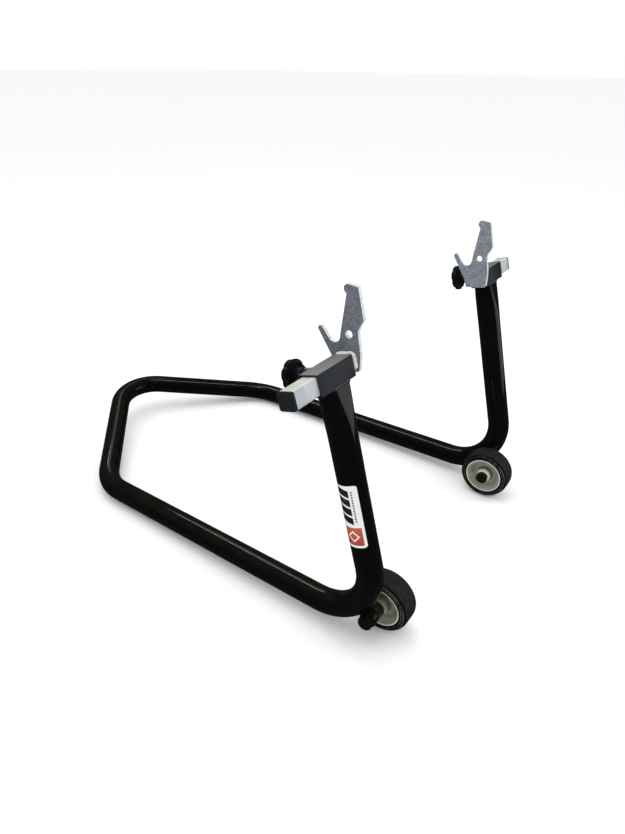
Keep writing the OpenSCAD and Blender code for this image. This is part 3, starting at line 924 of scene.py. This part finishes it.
def build_label():
    """Thin film with rounded corners on the outer side of the right upright."""
    rows, columns = 60, 40
    start, length, half_width, corner = 136, 81.0, 14.7, 3.0
    round_axis = np.array([0, math.cos(LEAN), math.sin(LEAN)])
    points, uvs = [], []
    for radius in (TUBE_RADIUS - 0.01, TUBE_RADIUS + 0.19):
        for v in np.linspace(0, length, rows + 1):
            to_end = min(v, length - v)
            half = half_width
            if to_end < corner:
                half -= corner - math.sqrt(max(0, corner ** 2 - (corner - to_end) ** 2))
            for u in np.linspace(-half, half, columns + 1):
                angle = u / TUBE_RADIUS
                outward = math.cos(angle) * X_AXIS + math.sin(angle) * round_axis
                points.append(HEEL + UPRIGHT_AXIS * (start + v) + radius * outward)
                uvs.append((u / UV_UNIT, v / UV_UNIT))
    faces = []
    row = columns + 1
    layer = (rows + 1) * row
    for k in range(rows):
        for i in range(columns):
            first = k * row + i
            quad = (first, first + 1, first + row + 1, first + row)
            faces.append(quad)
            faces.append(tuple(layer + quad[j] for j in (0, 3, 2, 1)))
    rim = list(range(row)) + [(k + 1) * row - 1 for k in range(1, rows + 1)]
    rim += [rows * row + i for i in range(columns - 1, -1, -1)]
    rim += [k * row for k in range(rows - 1, 0, -1)]
    for i, here in enumerate(rim):
        there = rim[(i + 1) % len(rim)]
        faces.append((here, there, layer + there, layer + here))
    add("side_label_film", (np.array(points), faces), "frame", "label_film", LABEL,
        node="side_label", angle=50, uv=uvs)


# ---------------------------------------------------------------- weld beads
def ripple(phase):
    """Row of half-round humps, one per unit of phase."""
    return np.sqrt(np.maximum(0, 1 - (2 * (phase % 1) - 1) ** 2))


def wobble(at, knots, total, seed):
    values = np.random.default_rng(seed).uniform(-1, 1, knots)
    return np.interp(at, np.linspace(0, total, knots), values)


def weld_bead(path, radius, seed):
    """Overlapping rounded ripples of weld metal round a closed path."""
    step, pitch, ripple_height = 0.35, 1.5, 0.14
    closed = np.vstack([path, path[:1]])
    lengths = lengths_along(closed)
    total = lengths[-1]
    at = np.linspace(0, total, int(total / step), endpoint=False)
    centres = sample(closed, lengths, at)
    headings = np.roll(centres, -1, 0) - np.roll(centres, 1, 0)
    headings /= np.linalg.norm(headings, axis=1)[:, None]
    uneven = wobble(at, 24, total, seed)
    humps = ripple(at / pitch + 0.12 * uneven)
    sizes = radius * (1 - ripple_height + 2 * ripple_height * humps + 0.07 * uneven)
    angles = full_turn(12)
    normal = np.cross(headings[0], [0.31, 0.52, 0.79])
    rings = []
    for centre, heading, size in zip(centres, headings, sizes):
        normal = carry(normal, heading)
        rings.append(centre + size * spokes(angles, normal, heading))
    return loft(rings, loop=True)


# section of the fillet at the hook: (out from the arm's wall, along the arm from the plate)
FILLET_SECTION = [(-0.3, 0.0), (3.9, 0.0), (3.75, 0.5), (3.1, 1.35), (2.35, 2.1), (1.5, 2.85),
                  (0.55, 3.65), (0.0, 3.9), (-0.3, 3.9)]


def build_hook_weld(name, sign):
    """Rippled fillet over the top and down both sides of the arm, thin at its ends."""
    lowest, pitch, taper = -5.7, 1.9, 4.5
    base = rounded_square(ARM_WIDTH, ARM_CORNER, 10)
    closed = np.vstack([base, base[:1]])
    lengths = lengths_along(closed)
    path = sample(closed, lengths, np.linspace(0, lengths[-1], 420, endpoint=False))
    # start at the middle of the underside, so the kept part is unbroken
    underside = np.abs(path[:, 0]) + np.abs(path[:, 1] + ARM_WIDTH / 2)
    path = np.roll(path, -int(np.argmin(underside)), 0)
    outward = path - inset(path, 1.0)
    kept = path[:, 1] > lowest
    path, outward = path[kept], outward[kept]
    at = lengths_along(path)
    uneven = wobble(at, 26, at[-1], seed=5)
    ends = np.sqrt(np.clip(np.minimum(at, at[-1] - at) / taper, 0, 1))
    humps = ripple(at / pitch + 0.18 * uneven)
    sizes = (0.80 + 0.16 * humps + 0.06 * uneven) * (0.5 + 0.5 * ends)
    rings = []
    for place, normal, size in zip(path, outward, sizes):
        section = np.array([place + normal * (out * size if out > 0 else out)
                            for out, along in FILLET_SECTION])
        x = np.array([ARM_START + along * size for out, along in FILLET_SECTION])
        rings.append(in_sleeve(x, section, sign))
    add(f"{name}_hook_weld_bead", loft(rings, cap_start=True, cap_end=True),
        f"{name}_arm_assembly", "weld_metal", WELD, node=f"{name}_hook_weld", angle=70)


def build_upright_weld(name, sign):
    """Bead where the upright meets the sleeve's underside."""
    half_length, half_depth, depth_limit, below = 19.9, 16.2, 12.3, SLEEVE_HALF + 0.2
    angles = full_turn(120)
    across = np.clip(half_depth * np.sin(angles), -depth_limit, depth_limit)
    section = np.stack([across, np.full(120, -below)], 1)
    path = in_sleeve(HEEL[0] + half_length * np.cos(angles), section, sign)
    # moved to where the leaning upright passes through the underside
    path += SLEEVE_Z * SLEEVE_HALF - UPRIGHT_AXIS * (SLEEVE_HALF / (UPRIGHT_AXIS @ SLEEVE_Z))
    add(f"{name}_upright_weld_bead", weld_bead(path, 1.25, seed=31), "frame", "sleeve_paint",
        SATIN, angle=60)


# ---------------------------------------------------------------- hook plate
# outline from the sleeve's axis: points (y, z), or arcs (y, z, radius, start, end, steps)
# with angles in degrees
HOOK_OUTLINE = [
    (-35.6, 32, 3.4, 215, 35, 16), (-25.6, 24.5), (-18.2, 28, 7.5, 205, 350, 26),
    (-9.3, 41), (-7.6, 54), (-6, 66), (-4.9, 75.4), (-2.9, 82.2, 5.4, 252, 95, 20),
    (7.2, 84.1, 2.6, 80, 12, 8), (17.7, 52.4), (17.3, 51.2), (15.2, 47.4), (13.2, 43.9),
    (11.6, 39.9), (12.2, 34.5), (13.6, 27.6), (15.6, 17.6), (16.3, 9), (16.4, 1),
    (11.2, -2.2, 5.2, -6, -78, 10), (-12.6, -9.6, 2, 262, 190, 6), (-17.6, -0.2)]
HOOK_HOLE_CENTRE, HOOK_HOLE_RADIUS = (0.6, 33.6), 4.2
# edge rounding: (inset, depth from the plate's inner face)
HOOK_EDGE = [(0.55, 0.0), (0.30, 0.05), (0.10, 0.20), (0.0, 0.45), (0.0, 2.5),
             (0.0, 4.55), (0.10, 4.80), (0.30, 4.95), (0.55, HOOK_THICKNESS)]


def hook_outline():
    """The outline at steps of about 0.6 mm, smoothed twice."""
    points = []
    for y, z, *arc in HOOK_OUTLINE:
        if not arc:
            points.append((y, z))
            continue
        radius, start, end, steps = arc
        for i in range(steps + 1):
            angle = math.radians(start + (end - start) * i / steps)
            points.append((y + radius * math.cos(angle), z + radius * math.sin(angle)))
    closed = np.array(points + points[:1])
    lengths = lengths_along(closed)
    total = lengths[-1]
    outline = sample(closed, lengths, np.linspace(0, total, int(total / 0.6), endpoint=False))
    for _ in range(2):
        outline = 0.25 * np.roll(outline, 1, 0) + 0.5 * outline + 0.25 * np.roll(outline, -1, 0)
    return outline


def build_hook(name, sign):
    outline = hook_outline()
    hole = ring(HOOK_HOLE_RADIUS, 0)[:, :2] + HOOK_HOLE_CENTRE
    points, faces, face_material = [], [], []
    # the hole's edge opens outwards by 0.7 of the outline's inset
    for points_2d, inset_share in ((outline, 1.0), (hole, -0.7)):
        start, count = len(points), len(points_2d)
        for distance, depth in HOOK_EDGE:
            points += [(sign * (HOOK_START + depth), UPRIGHT_TOP[1] + y, UPRIGHT_TOP[2] + z)
                       for y, z in inset(points_2d, distance * inset_share)]
        for k in range(len(HOOK_EDGE) - 1):
            here, there = start + k * count, start + (k + 1) * count
            for i in range(count):
                j = (i + 1) % count
                faces.append((here + i, here + j, there + j, there + i))
                face_material.append(1 if 1 <= k <= 6 else 0)
    hole_start = len(outline) * len(HOOK_EDGE)
    for k in (0, len(HOOK_EDGE) - 1):
        outer_ids = [k * len(outline) + i for i in range(len(outline))]
        hole_ids = [hole_start + k * len(hole) + i for i in range(len(hole))][::-1]
        triangles = tessellate_polygon([[Vector((points[i][1], points[i][2], 0)) for i in ids]
                                        for ids in (outer_ids, hole_ids)])
        ids = outer_ids + hole_ids
        for triangle in triangles:
            faces.append(tuple(ids[i] for i in triangle))
            face_material.append(0)
    add(f"{name}_hook_plate", (np.array(points), faces), f"{name}_arm_assembly", "zinc_plate",
        PLATE, EDGE, node=f"{name}_hook", angle=34, face_material=face_material)


# ---------------------------------------------------------------- sleeve and arm
def build_sleeve(name, sign):
    """Square tube with softened mouths and a hole for the screw."""
    outside = [(SLEEVE_START, -0.45), (SLEEVE_START + 0.12, -0.15), (SLEEVE_START + 0.45, 0),
               (SLEEVE_END - 0.45, 0), (SLEEVE_END - 0.12, -0.15), (SLEEVE_END, -0.45)]
    bore = [(SLEEVE_END, 0.25), (SLEEVE_END - 0.25, 0), (SLEEVE_START + 0.25, 0),
            (SLEEVE_START, 0.25)]
    rings = square_rings(outside, SLEEVE_WIDTH, 1.6, sign)
    rings += square_rings(bore, SLEEVE_BORE, 0.5, sign)
    sleeve = add(f"{name}_sleeve_tube", loft(rings, loop=True), "frame", "sleeve_paint", SATIN,
                 node=f"{name}_sleeve")
    cut(sleeve, at_clamp(cylinder(5.5, 8.5, 16, 40), sign))


def build_arm(name, sign):
    outside = [(ARM_START, -0.2), (ARM_START + 0.2, 0), (ARM_END - 0.3, 0),
               (ARM_END - 0.05, -0.25), (ARM_END, -0.35)]
    bore = [(ARM_END, 0.1), (ARM_END - 0.2, 0), (ARM_START, 0)]
    rings = square_rings(outside, ARM_WIDTH, ARM_CORNER, sign)
    rings += square_rings(bore, ARM_BORE, 1.1, sign, corner_growth=0)
    add(f"{name}_arm_tube", loft(rings, loop=True), f"{name}_arm_assembly", "bright_zinc", ZINC,
        node=f"{name}_arm")


def build_plug(name, sign):
    """Plug in the arm's outer end: domed head and hollow shank."""
    # (x, width, corner)
    stations = [(269.0, 13.4, 1.0), (269.0, 16.4, 1.0), (269.6, 16.9, 1.0),
                (ARM_END, 16.9, 1.0), (ARM_END, 19.6, 2.4), (283.3, ARM_WIDTH, ARM_CORNER)]
    for angle in np.linspace(0, math.pi / 2, 7)[1:]:
        fall = 1 - math.cos(angle)
        stations.append((286.1 + 1.5 * math.sin(angle), ARM_WIDTH - 3.0 * fall,
                         ARM_CORNER - 0.6 * fall))
    stations += [(287.85, 12, 1.8), (288.0, 5, 0.8)]
    points, faces = loft([square_ring(*station, sign) for station in stations], cap_end=True)
    floor_ring = square_ring(283.6, 13.4, 1.0, sign)
    start, count = len(points), len(floor_ring)
    for i in range(count):
        j = (i + 1) % count
        faces.append((i, start + i, start + j, j))
    faces.append(tuple(start + i for i in range(count)))
    add(f"{name}_plug_domed", (np.concatenate([points, floor_ring]), faces),
        f"{name}_arm_assembly", "plug_plastic", PLUG, node=f"{name}_arm_plug", angle=36)


# ---------------------------------------------------------------- clamp
THREAD_RADIUS, THREAD_DEPTH, THREAD_PITCH, THREAD_CHAMFER = 5.0, 0.75, 1.5, 1.0


def thread(start, end, segments):
    """Rings of a right-hand thread, chamfered at its start."""
    angles = full_turn(segments)
    rings = []
    for z in np.linspace(start, end, int((end - start) / (THREAD_PITCH / 8)) + 1):
        phase = (z / THREAD_PITCH - angles / (2 * math.pi)) % 1.0
        tooth = np.clip(1.25 - np.abs(2 * phase - 1) * 1.5, 0, 1)
        radius = THREAD_RADIUS - THREAD_DEPTH + THREAD_DEPTH * tooth
        chamfer = THREAD_RADIUS - max(0, THREAD_CHAMFER - (z - start))
        rings.append(ring(np.minimum(radius, chamfer), z, segments))
    return rings


def build_boss(name, sign):
    """Threaded boss on the sleeve, with its weld."""
    boss = turned_ring(5.05, 8.5, SLEEVE_HALF, 29, (0.1, 0.1, 0.9, 0.5), 4, 64)
    add(f"{name}_boss_turned", at_clamp(boss, sign), "frame", "sleeve_paint", SATIN,
        node=f"{name}_clamp_boss")
    bead = weld_bead(ring(9.0, SLEEVE_HALF + 0.4, 60), 1.1, seed=21)
    add(f"{name}_boss_weld_bead", at_clamp(bead, sign), "frame", "sleeve_paint", SATIN, angle=60)


def build_screw(name, sign):
    rings = [ring(4.0, 10.1)] + thread(10.15, 44, 48) + [ring(4.6, 44.6), ring(4.6, 46.5)]
    screw = loft(rings, cap_start=True, cap_end=True)
    add(f"{name}_screw_threaded", at_clamp(screw, sign), f"{name}_screw", "bright_zinc", PLATED,
        node=f"{name}_clamp_screw", angle=28)


KNOB_RADIUS, KNOB_LOBES, KNOB_THICKNESS, KNOB_EDGE = 18.5, 7, 7.5, 2
KNOB_SEGMENTS = 224
KNOB_BASE = 49.5 - KNOB_THICKNESS   # underside of the star, from the sleeve's centre
# (radius, z from the star's underside)
KNOB_COLLAR = [(5.7, -9.5), (5.7, -11.2), (6.0, -11.5), (8.4, -11.5), (8.8, -11.35),
               (9.0, -11.0), (9.0, -9.6), (8.75, -9.3), (8.75, -8.9), (9.05, -8.6)]
KNOB_GROOVE = [(9.7, 1.5), (10.3, 2.0), (11.6, 2.3), (12.0, 2.3), (12.6, 1.9), (12.9, 1.2),
               (13.1, 0.5), (13.5, 0.1)]
KNOB_DISH = [(12.6, 7.45), (12.2, 7.2), (11.9, 6.9), (11.2, 6.8), (6.0, 6.9), (0.6, 6.95),
             (0.3, 6.95)]
KNOB_CAVITY = [(6.75, -9.5), (6.75, 5.0), (0.6, 5.0)]


def star_radii():
    """Radius at each segment: a disc with round notches, softened."""
    notch = 0.11 * 2 * KNOB_RADIUS
    centre = KNOB_RADIUS + notch * 0.62
    step = 2 * math.pi / KNOB_LOBES
    off_notch = np.abs((full_turn(KNOB_SEGMENTS) + step / 2) % step - step / 2)
    sideways = centre * np.sin(off_notch)
    hollow = centre * np.cos(off_notch) - np.sqrt(np.maximum(notch ** 2 - sideways ** 2, 0))
    radii = np.minimum(np.where(sideways < notch, hollow, KNOB_RADIUS), KNOB_RADIUS)
    weights = np.hanning(13)
    weights /= weights.sum()
    wrapped = np.concatenate([radii[-12:], radii, radii[:12]])
    return np.convolve(wrapped, weights, "same")[12:-12]


def knob_shape():
    flat = star_radii() - KNOB_EDGE
    stations = list(KNOB_COLLAR)
    stations += [(9.05 + 0.4 * (z + 8.6) / 10.2, z) for z in (-6, -3, 0.6)]
    stations += KNOB_GROOVE
    stations += [(13.8 + (flat - 13.8) * share, 0.0) for share in (0.15, 0.45, 0.75)]
    quarter = np.linspace(0, math.pi / 2, 7)
    stations += [(flat + KNOB_EDGE * math.sin(angle), KNOB_EDGE - KNOB_EDGE * math.cos(angle))
                 for angle in quarter]
    stations += [(flat + KNOB_EDGE * math.cos(angle),
                  KNOB_THICKNESS - KNOB_EDGE + KNOB_EDGE * math.sin(angle))
                 for angle in quarter]
    stations += [(13.6 + (flat - 13.6) * 0.3, KNOB_THICKNESS)] + KNOB_DISH

    def rings(table):
        return [ring(radius, KNOB_BASE + z, KNOB_SEGMENTS) for radius, z in table]

    points, faces = loft(rings(stations), cap_end=True)
    # the cavity that holds the insert shares the first ring of the collar
    cavity, cavity_faces = loft(rings(KNOB_COLLAR[:1] + KNOB_CAVITY), cap_end=True)
    shift = len(points) - KNOB_SEGMENTS
    faces += [tuple(i if i < KNOB_SEGMENTS else i + shift for i in face)
              for face in cavity_faces]
    return np.concatenate([points, cavity[KNOB_SEGMENTS:]]), faces


def build_knob(name, sign):
    add(f"{name}_star_knob", at_clamp(knob_shape(), sign), f"{name}_knob_assembly",
        "knob_plastic", KNOB, node=f"{name}_knob", angle=38)


# ---------------------------------------------------------------- axle
AXLE_SEGMENTS = 72
ACROSS_FLATS = 17
NUT_START = 148.5
HEAD_START = BUSH_END + OUTER_WASHER
# hexagon stations: (z from the start, radius its corners are turned down to)
HEAD_HEXAGONS = [(0, 8.2), (0.3, 9.3), (0.6, math.inf), (5.4, math.inf)]
NUT_HEXAGONS = [(0.2, 7.9), (0.6, 8.6), (1.1, 9.3), (1.6, math.inf), (7.2, math.inf),
                (7.7, 9.2), (8.0, 8.3)]


def axle_rings(stations, start=0):
    return [ring(radius, start + z, AXLE_SEGMENTS) for radius, z in stations]


def hexagons(stations, start):
    sector = math.pi / 6
    off_flat = (full_turn(AXLE_SEGMENTS) + sector) % (math.pi / 3) - sector
    radius = ACROSS_FLATS / 2 / np.cos(off_flat)
    radius = np.minimum(radius, ACROSS_FLATS / 2 / math.cos(sector) - 0.25)
    return [ring(np.minimum(radius, turned), start + z, AXLE_SEGMENTS)
            for z, turned in stations]


def build_bush(name, sign):
    bush = turned_ring(5.1, BUSH_RADIUS, BUSH_START, BUSH_END, (0.3, 0.5, 0.6, 0.3), 4,
                       AXLE_SEGMENTS)
    add(f"{name}_bush_turned", on_axle(bush, sign), "frame", "black_steel", PAINT,
        node=f"{name}_axle_bush")


def build_bolt(name, sign):
    """Threaded from the inner end, with a hexagon head outside."""
    tip = 147.0
    crown = [(5.4 + 1.4 * share, 9.6 - 1.5 * share) for share in np.linspace(0, 1, 5)[1:]]
    rings = axle_rings([(3.9, tip)]) + thread(tip, 176.0, AXLE_SEGMENTS)
    rings += axle_rings([(THREAD_RADIUS, 177.0), (THREAD_RADIUS, 219.3)])
    rings += hexagons(HEAD_HEXAGONS + crown, HEAD_START)
    rings += axle_rings([(7.6, 6.95), (6.9, 6.8), (1.0, 6.75)], HEAD_START)
    bolt = loft(rings, cap_start=True, cap_end=True)
    add(f"{name}_bolt_forged", on_axle(bolt, sign), "frame", "black_steel", BLACK,
        node=f"{name}_axle_bolt", angle=26)


def build_washers(name, sign):
    sizes = ((10, BUSH_END, HEAD_START), (9.5, BUSH_START - INNER_WASHER, BUSH_START))
    washers = join(*(turned_ring(5.25, radius, start, end, (0.15, 0.3, 0.45, 0.2), 3,
                                 AXLE_SEGMENTS) for radius, start, end in sizes))
    add(f"{name}_washers_stamped", on_axle(washers, sign), "frame", "black_steel", BLACK,
        node=f"{name}_axle_washers")


def build_nut(name, sign):
    rings = axle_rings([(5.4, 0), (7.3, 0)], NUT_START)
    rings += hexagons(NUT_HEXAGONS, NUT_START)
    rings += axle_rings([(5.4, 8.0), (5.05, 7.6), (5.05, 0.4)], NUT_START)
    add(f"{name}_nut_forged", on_axle(loft(rings, loop=True), sign), "frame", "black_steel",
        BLACK, node=f"{name}_axle_nut", angle=26)


# ---------------------------------------------------------------- wheel
# half profiles: (radius, depth from the wheel's face, rounding)
HUB_DISH = [(14, 11, 1.2), (20.4, 11, 1.4), (26.6, 1.2, 0.7), (28.2, 0.4, 0.5),
            (29.6, 0.4, 0.5), (29.6, 2.2, 0.2), (27.5, 2.2, 0.2)]
HUB_INNER = [(6.55, -1, 0.3), (8.8, -1, 0.6), (11.4, 3.5, 1.2), (12.3, 9.5, 0.8)] + HUB_DISH
HUB_OUTER = [(6.55, -1, 0.3), (11.5, -1, 0.6), (12.4, 9.5, 0.8)] + HUB_DISH
TYRE_SIDE = [(27.5, 2.2, 0.1), (29.6, 2.2, 0.2), (29.6, 0, 0.3), (33.4, 0, 0.25),
             (33.4, 0.9, 0.2), (34.4, 0.9, 0.2), (34.4, 0, 0.25)]
# (distance inside the tread, depth from the wheel's face, rounding)
TYRE_SHOULDER = [(4, 0, 0.2), (3.6, 0.4, 0.4), (3.2, 1.5, 0.3), (2.7, 1.6, 0.4), (2, 2, 0.8),
                 (1.1, 3.5, 1.0), (0.4, 5.8, 1.0), (0.1, 8, 1.0), (0, 10.5, 1.0)]


def wheel_profile(inner, outer, steps):
    return fillet([(radius, WHEEL_INNER + depth, rounding) for radius, depth, rounding in inner]
                  + [(radius, WHEEL_OUTER - depth, rounding)
                     for radius, depth, rounding in outer[::-1]], steps)


def build_hub(name, sign):
    """Plastic wheel centre; its lips at the rim have a paler copy of its plastic, painted as lit.
    """
    segments, lip_radius, lip_depth = 128, 27.9, 2
    profile = wheel_profile(HUB_INNER, HUB_OUTER, 4)
    face_material = []
    for here, there in zip(profile, profile[1:] + profile[:1]):
        radius, z = (here + there) / 2
        outside = z < WHEEL_INNER + lip_depth or z > WHEEL_OUTER - lip_depth
        face_material += [1 if radius > lip_radius and outside else 0] * segments
    add(f"{name}_hub_moulded", on_axle(lathe(profile, segments), sign), f"{name}_wheel",
        "hub_plastic", HUB, LIT_LIP, node=f"{name}_wheel_hub", face_material=face_material, angle=40)


def build_tyre(name, sign):
    half = TYRE_SIDE + [(WHEEL_RADIUS - drop, depth, rounding)
                        for drop, depth, rounding in TYRE_SHOULDER]
    tyre = lathe(wheel_profile(half, half, 3), 160)
    add(f"{name}_tyre_moulded", on_axle(tyre, sign), f"{name}_wheel", "tyre_rubber", TYRE,
        node=f"{name}_tyre", angle=30)


def paint_cad_nodes():
    """Materials for the pieces kept from the CAD."""
    for piece in bpy.context.scene.objects:
        if piece.type == "MESH" and piece.get("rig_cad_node") and not piece.hide_render:
            material = BRASS if "insert" in piece["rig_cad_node"] else PLATED
            piece.data.materials.clear()
            piece.data.materials.append(material)


# ---------------------------------------------------------------- floor, light, camera; metres
def floor_material():
    mat = Surface("floor")
    colour = mat.mix(mat.noise(scale=3), base=(0.95, 0.95, 0.945), top=(0.97, 0.97, 0.97))
    mat.finish(Base_Color=colour, Roughness=0.8, Specular_IOR_Level=0.1)
    # the floor shows only weakly in glossy surfaces, like matt studio paper
    ray = mat.node("LightPath")
    dim = mat.node("Emission")
    mat.put(dim.inputs["Color"], (1, 1, 1, 1))
    mat.put(dim.inputs["Strength"], 0.03)
    switch = mat.node("MixShader")
    mat.put(switch.inputs[0], ray.outputs["Is Glossy Ray"])
    mat.put(switch.inputs[1], mat.shader.outputs[0])
    mat.put(switch.inputs[2], dim.outputs[0])
    mat.put(mat.output.inputs[0], switch.outputs[0])
    return mat.material


def build_floor():
    half = 40.0
    mesh = bpy.data.meshes.new("floor")
    mesh.from_pydata([(-half, -half, 0), (half, -half, 0), (half, half, 0), (-half, half, 0)],
                     [], [(0, 1, 2, 3)])
    mesh.materials.append(floor_material())
    link_object("floor", mesh)


def build_world():
    """White to the camera, a soft white light, and nearly dark in reflections."""
    world = bpy.data.worlds.new("studio")
    bpy.context.scene.world = world
    world.use_nodes = True
    nodes, links = world.node_tree.nodes, world.node_tree.links
    nodes.clear()
    output = nodes.new("ShaderNodeOutputWorld")

    def background(colour, strength):
        node = nodes.new("ShaderNodeBackground")
        node.inputs["Color"].default_value = (*colour, 1)
        node.inputs["Strength"].default_value = strength
        return node

    seen = background(colour=(1, 1, 1), strength=1.0)
    lighting = background(colour=(0.98, 0.99, 1.0), strength=1.06)
    reflected = background(colour=(0.92, 0.96, 1.0), strength=0.018)
    ray = nodes.new("ShaderNodeLightPath")

    def switch(kind, otherwise, chosen):
        node = nodes.new("ShaderNodeMixShader")
        links.new(ray.outputs[kind], node.inputs[0])
        links.new(otherwise.outputs[0], node.inputs[1])
        links.new(chosen.outputs[0], node.inputs[2])
        return node

    unseen = switch("Is Glossy Ray", lighting, reflected)
    links.new(switch("Is Camera Ray", unseen, seen).outputs[0], output.inputs[0])


def area_light(name, place, aim, size, power, colour, reflected=True):
    light = bpy.data.lights.new(name, "AREA")
    light.shape = "RECTANGLE"
    light.size, light.size_y = size
    light.energy = power
    light.color = colour
    lamp = link_object(name, light)
    lamp.location = place
    lamp.rotation_euler = (Vector(aim) - Vector(place)).to_track_quat("-Z", "Y").to_euler()
    lamp.visible_glossy = reflected


def build_lights():
    area_light("key", place=(0.1, -0.5, 2.4), aim=(0, 0, 0.1), size=(1.8, 1.8), power=9,
               colour=(1.0, 0.99, 0.97), reflected=False)
    area_light("side", place=(-1.0, 1.3, 0.9), aim=(-0.2, 0.2, 0.2), size=(0.8, 0.8), power=4,
               colour=(0.95, 0.97, 1.0), reflected=False)
    area_light("softbox", place=(-0.55, -0.80, 1.6), aim=(0, 0, 0.1), size=(0.45, 1.2),
               power=0.9, colour=(1.0, 0.99, 0.96))
    area_light("strip", place=(-0.25, -0.75, 1.75), aim=(0, 0, 0.1), size=(0.035, 1.3),
               power=1.7, colour=(1, 1, 1))
    area_light("strip_far", place=(-0.10, 0.05, 1.9), aim=(-0.2, 0.1, 0.05), size=(0.05, 0.9),
               power=1.4, colour=(1, 1, 1))
    area_light("card", place=(-0.80, 1.25, 0.30), aim=(0.1, 0.2, 0.25), size=(1.0, 0.6),
               power=0.9, colour=(0.96, 0.98, 1.0))


def build_camera():
    """Above the wheels on the right side, looking down towards the closed end."""
    camera = bpy.data.cameras.new("camera")
    camera.sensor_width = 36
    camera.lens = 26.0471552
    camera.clip_start = 0.01
    viewer = link_object("camera", camera)
    right = (-0.58133145, 0.81361102, 0.00953167)
    down = (0.40848067, 0.30195388, -0.8613753)
    forward = (-0.70370256, -0.49685105, -0.50787966)
    place = (0.68123346, 0.5735461, 0.63757339)
    viewer.matrix_world = Matrix([[right[k], -down[k], -forward[k], place[k]]
                                  for k in range(3)] + [[0, 0, 0, 1]])
    bpy.context.scene.camera = viewer
    bpy.context.scene.view_settings.view_transform = "Standard"


# ---------------------------------------------------------------- build
build_tube()
build_label()
for side_sign, side_name in ((1, "right"), (-1, "left")):
    for build in (build_sleeve, build_boss, build_screw, build_knob, build_arm, build_plug,
                  build_hook, build_hook_weld, build_upright_weld, build_bush, build_bolt,
                  build_washers, build_nut, build_hub, build_tyre):
        build(side_name, side_sign)
paint_cad_nodes()
build_floor()
build_world()
build_lights()
build_camera()
